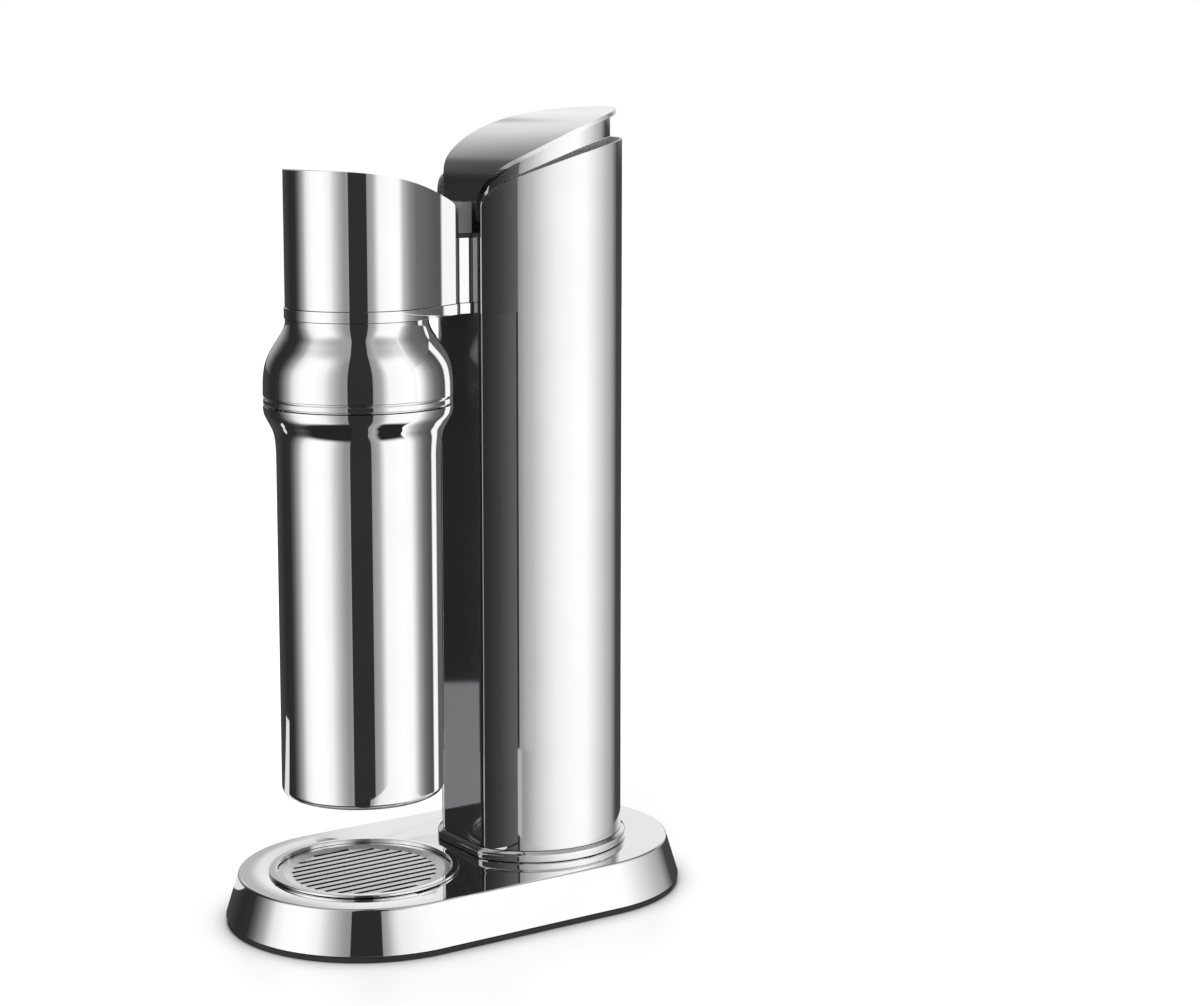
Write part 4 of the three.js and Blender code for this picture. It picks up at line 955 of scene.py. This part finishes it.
slotFinishes = {
    "satin_steel": satinSteel, "inner_steel": innerSteel, "dark_mirror": darkMirror,
    "dark_rubber": darkRubber, "grey_plastic": greyPlastic, "black_plastic": blackPlastic,
    "brass": brassMetal, "clear_plastic": clearPlastic, "polished_steel": mirrorSteel,
    "white_plastic": whitePlastic, "black_gloss": blackGloss,
}
nodeFinishes = {"drip_grille": slotShadedSteel}
keptEdges = {"width": 0.15, "segments": 2, "angle": 50}
edgeWidths = {
    "front_panel": 0.25, "hinge_block": 0.7, "drip_grille": 0.12, "neck_pad": 0.3,
    "top_bracket": 0.4,
}
for part in frame["record"]["subparts"]:
    name = part["node"]
    node = frame["nodes"][name]
    if node.hide_render:
        continue
    node.data.materials.clear()
    node.data.materials.append(nodeFinishes.get(name, slotFinishes[part["material_slot"]]))
    width = edgeWidths.get(name, keptEdges["width"])
    softenEdges(node, width, keptEdges["segments"], keptEdges["angle"])
print("kept pieces finished")

# studio: soft bands of light all round, a floor, cards that only the metal sees

bandStops = [  # degrees round from the camera's side, brightness
    (-180, 0.05), (-150, 0.06), (-123, 0.025), (-107, 0.03), (-99, 0.12), (-88, 0.4), (-79, 0.87),
    (-69, 1.05), (-52, 1.1), (-45, 1.05), (-37, 0.96), (-29, 0.66), (-22, 0.46), (-15, 0.32),
    (-10.5, 0.29), (-4.3, 0.377), (1.9, 0.484), (8.1, 0.6), (14.3, 0.7), (20.5, 0.786),
    (26.8, 0.877), (33.2, 0.938), (46.4, 1.02), (67.5, 1.08), (75.2, 1.06), (83.3, 0.957),
    (92, 0.817), (101.3, 0.685), (111.8, 0.527), (124, 0.393), (139.6, 0.06), (180, 0.05),
]
rearStops = [  # degrees above the horizon behind the machine, brightness
    (-90, 0.05), (-2, 0.05), (0, 0.7), (3, 0.72), (8, 0.86), (12, 0.88), (14, 0.92), (16, 0.88),
    (18, 0.83), (20, 0.83), (23.7, 0.73), (26.8, 0.5), (29.6, 0.26), (32, 0.1), (36, 0.09),
    (60, 0.12), (90, 0.4),
]
worldSettings = {
    "rearFrom": 125, "rearFull": 165, "rearLow": -2, "rearHigh": 1,
    "leftFrom": 0.085, "leftFull": 0.125, "leftTop": 18.5, "leftEnd": 21, "left": 0.6,
    "underFrom": 34, "underFull": 50, "under": 0.02,
    "domeFrom": 38, "domeFull": 60, "dome": 0.38, "fill": 0.75, "backdrop": 1.0,
}


def makeWorld():
    w = worldSettings
    world = bpy.data.worlds.new("studio")
    world.use_nodes = True
    bpy.context.scene.world = world
    tree = world.node_tree
    coords = tree.nodes.new("ShaderNodeTexCoord")
    split = tree.nodes.new("ShaderNodeSeparateXYZ")
    tree.links.new(coords.outputs["Generated"], split.inputs[0])
    x, y, z = split.outputs
    across, ahead = (
        mathNode(tree, "ADD", times(tree, x, way.x), times(tree, y, way.y))
        for way in (photoRight, photoNear)
    )
    angle = times(tree, mathNode(tree, "ARCTAN2", across, ahead), 180 / pi)
    rise = times(tree, mathNode(tree, "ARCSINE", z), 180 / pi)
    fall = times(tree, rise, -1)
    behind = times(
        tree, smoothStep(tree, mathNode(tree, "ABSOLUTE", angle), w["rearFrom"], w["rearFull"]),
        smoothStep(tree, rise, w["rearLow"], w["rearHigh"]),
    )
    left = times(
        tree, smoothStep(tree, times(tree, across, -1), w["leftFrom"], w["leftFull"]),
        smoothStep(tree, fall, -w["leftEnd"], -w["leftTop"]),
    )
    leftLevel = mathNode(tree, "SUBTRACT", 1, times(tree, left, 1 - w["left"]))
    rear = mixColour(tree, leftLevel, grey(0), stopsRamp(tree, rearStops, rise))
    studio = mixColour(tree, behind, stopsRamp(tree, bandStops, angle), rear)
    below = smoothStep(tree, fall, w["underFrom"], w["underFull"])
    studio = mixColour(tree, below, studio, grey(w["under"]))
    above = smoothStep(tree, rise, w["domeFrom"], w["domeFull"])
    studio = mixColour(tree, above, studio, grey(w["dome"]))
    rays = tree.nodes.new("ShaderNodeLightPath")
    plain = mixColour(tree, rays.outputs["Is Glossy Ray"], grey(w["fill"]), studio)
    final = mixColour(tree, rays.outputs["Is Camera Ray"], plain, grey(w["backdrop"]))
    tree.links.new(final, tree.nodes["Background"].inputs["Color"])


def stagePiece(name, bm, material):
    mesh = meshFrom(name, bm)
    mesh.materials.append(material)
    piece = linked(name, mesh)
    return piece


# the dark level and the contact reach set the floor's painted contact shadow
floorSettings = {
    "size": 3, "white": 0.93, "dark": 0.3, "roughness": 0.35, "specular": 0.5,
    "near": 0.2, "far": 0.5, "nearFrom": 0.2, "farFull": 0.6, "contact": 0.018, "paintedShadowLow": 0.25,
}


def makeFloor():
    f = floorSettings
    bm = bmesh.new()
    bmesh.ops.create_grid(bm, x_segments=1, y_segments=1, size=f["size"])
    material, tree, shader = newMaterial("floor_white", {
        "Roughness": f["roughness"], "Specular IOR Level": f["specular"],
    })
    coords = tree.nodes.new("ShaderNodeTexCoord")
    length = tree.nodes.new("ShaderNodeVectorMath")
    length.operation = "LENGTH"
    tree.links.new(coords.outputs["Object"], length.inputs[0])
    away = smoothStep(tree, length.outputs["Value"], f["nearFrom"], f["farFull"])
    glow = mixColour(tree, away, grey(f["near"]), grey(f["far"]))
    contact = tree.nodes.new("ShaderNodeAmbientOcclusion")  # painted contact shadow: ambient occlusion darkens the floor's colour and takes away its glow right under the edges
    contact.inputs["Distance"].default_value = f["contact"]
    outsidePaintedShadow = smoothStep(tree, contact.outputs["AO"], f["paintedShadowLow"], 1.0)
    feed(tree, shader.inputs["Emission Color"], mixColour(tree, outsidePaintedShadow, grey(0), glow))
    paintedShadowColour = mixColour(tree, outsidePaintedShadow, grey(f["dark"]), grey(f["white"]))
    feed(tree, shader.inputs["Base Color"], paintedShadowColour)
    rays = tree.nodes.new("ShaderNodeLightPath")
    tree.links.new(rays.outputs["Is Camera Ray"], shader.inputs["Emission Strength"])
    floor = stagePiece("floor", bm, material)
    floor.visible_glossy = False


def makeCard(name, centre, sideWay, upWay, across, up, glow):  # flat card seen in reflections only
    bm = bmesh.new()
    verts = bmesh.ops.create_grid(bm, x_segments=1, y_segments=1, size=1)["verts"]
    for vert in verts:
        a = across[0] if vert.co.x < 0 else across[1]
        b = up[0] if vert.co.y < 0 else up[1]
        vert.co = centre + sideWay * a * mm + upWay * b * mm
    material = bpy.data.materials.new(name)
    material.use_nodes = True
    tree = material.node_tree
    tree.nodes.remove(tree.nodes["Principled BSDF"])
    light = tree.nodes.new("ShaderNodeEmission")
    clear = tree.nodes.new("ShaderNodeBsdfTransparent")
    blend = tree.nodes.new("ShaderNodeMixShader")
    coords = tree.nodes.new("ShaderNodeTexCoord")
    along = tree.nodes.new("ShaderNodeVectorMath")
    along.operation = "DOT_PRODUCT"
    along.inputs[1].default_value = sideWay / mm
    tree.links.new(coords.outputs["Object"], along.inputs[0])
    place = mathNode(tree, "SUBTRACT", along.outputs["Value"], centre.dot(sideWay) / mm)
    colour, cover = glow(tree, place)
    feed(tree, light.inputs["Color"], colour)
    feed(tree, blend.inputs[0], cover)
    tree.links.new(clear.outputs[0], blend.inputs[1])
    tree.links.new(light.outputs[0], blend.inputs[2])
    tree.links.new(blend.outputs[0], tree.nodes["Material Output"].inputs["Surface"])
    card = stagePiece(name, bm, material)
    card.visible_camera = False
    card.visible_diffuse = False
    card.visible_shadow = False
    card.visible_transmission = False


nearCards = [  # dark flags close in front of the bottle, with a soft right edge
    {
        "name": "card_near", "reach": 130, "across": (-11.7, 100), "up": (47, 620),
        "glow": [
            (-12, 0.03), (46.6, 0.03), (47.2, 0.3), (57, 0.34), (70, 0.42), (85, 0.52), (100, 0.62),
        ],
        "cover": [(-12, 1.0), (72, 1.0), (100, 0.0)],
    },
    {
        "name": "card_low", "reach": 130, "across": (-11.7, 60), "up": (-20, 47),
        "glow": [(-12, 0.025), (30.6, 0.025), (31.4, 0.3), (40, 0.42), (60, 0.8)],
        "cover": [(-12, 1.0), (40, 1.0), (60, 0.0)],
    },
]
betweenCards = {  # between bottle and column: dark to the column, graded to the bottle
    "across": (11, 86),
    "toColumn": [
        (11, 0.5), (19.5, 0.5), (20, 0.0265), (21, 0.0265), (25.6, 0.033), (30, 0.0414),
        (35.6, 0.0528), (40.6, 0.0717), (47, 0.0915), (60, 0.13),
    ],
    "cards": [
        {
            "name": "card_bottle", "y": -10, "up": (60, 313.2), "end": 57,
            "toBottle": [
                (11, 0.12), (26, 0.12), (27.5, 1.0), (34, 1.0), (36, 0.08), (40, 0.09), (50, 0.17),
                (60.7, 0.4), (73.6, 0.9), (80, 1.05), (86, 1.08),
            ],
        },
        {
            "name": "card_head", "y": -4.5, "up": (313, 402), "end": 55,
            "toBottle": [
                (11, 0.05), (15.7, 0.05), (16.3, 1.0), (23, 1.0), (24, 0.1), (40, 0.14), (50, 0.16),
                (60.7, 0.28), (73.6, 0.55), (85, 0.95), (86, 0.95),
            ],
        },
        {"name": "card_foot", "y": -10, "up": (26, 60), "end": 57, "toBottle": None},
    ],
}
neckCard = {"x": 15.6, "across": (-4.4, 2.4), "up": (313, 353), "glow": 1.05}
floorStrip = {
    "start": (0, 3.5, 0.5), "way": (-0.8526, -0.5225, 0), "along": (85, 476), "half": 40,
    "glow": 0.8,
}


def seenFromBehind(tree):
    return tree.nodes.new("ShaderNodeNewGeometry").outputs["Backfacing"]


def makeNearCards():
    for n in nearCards:
        def glow(tree, place):
            return stopsRamp(tree, n["glow"], place), stopsRamp(tree, n["cover"], place)

        centre = Vector((0, bottleY * mm, 0)) + photoNear * n["reach"] * mm
        makeCard(n["name"], centre, photoRight, straightUp, n["across"], n["up"], glow)


def makeNeckCard():  # keeps the side of the neck bright beside the column
    n = neckCard

    def glow(tree, place):
        return grey(n["glow"]), seenFromBehind(tree)

    centre = Vector((n["x"] * mm, 0, 0))
    makeCard("card_neck", centre, Vector((0, 1, 0)), straightUp, n["across"], n["up"], glow)


def makeBetweenCards():
    for card in betweenCards["cards"]:
        def glow(tree, place):
            behind = seenFromBehind(tree)
            dark = stopsRamp(tree, betweenCards["toColumn"], place)
            shown = times(tree, behind, mathNode(tree, "LESS_THAN", place, card["end"]))
            if not card["toBottle"]:  # clear from the front
                return dark, shown
            colour = mixColour(tree, behind, stopsRamp(tree, card["toBottle"], place), dark)
            return colour, mathNode(tree, "ADD", shown, mathNode(tree, "SUBTRACT", 1, behind))

        centre = Vector((0, card["y"] * mm, 0))
        makeCard(
            card["name"], centre, Vector((1, 0, 0)), straightUp, betweenCards["across"],
            card["up"], glow,
        )


def makeFloorStrip():  # bright strip on the floor that lights the panel's middle
    f = floorStrip
    way = Vector(f["way"])
    side = Vector((-way.y, way.x, 0))

    def glow(tree, place):
        return grey(f["glow"]), 1.0

    makeCard(
        "card_floor", Vector(f["start"]) * mm, way, side, f["along"], (-f["half"], f["half"]), glow,
    )


lampSettings = {
    "lamp_key": {"place": (0.9, -1.3, 1.6), "target": (0, 0, 0.2), "size": 1.0, "power": 9},
    "lamp_top": {"place": (-0.3, 0.2, 1.9), "target": (0, 0, 0.1), "size": 1.2, "power": 7},
}


def makeLamps():
    for name, s in lampSettings.items():
        data = bpy.data.lights.new(name, "AREA")
        data.shape = "SQUARE"
        data.size = s["size"]
        data.energy = s["power"]
        lamp = linked(name, data)
        place = Vector(s["place"])
        turned = (Vector(s["target"]) - place).to_track_quat("-Z", "Y").to_matrix().to_4x4()
        lamp.matrix_world = Matrix.Translation(place) @ turned
        lamp.visible_glossy = False


makeWorld()
makeFloor()
makeNearCards()
makeNeckCard()
makeBetweenCards()
makeFloorStrip()
makeLamps()
print("studio made")
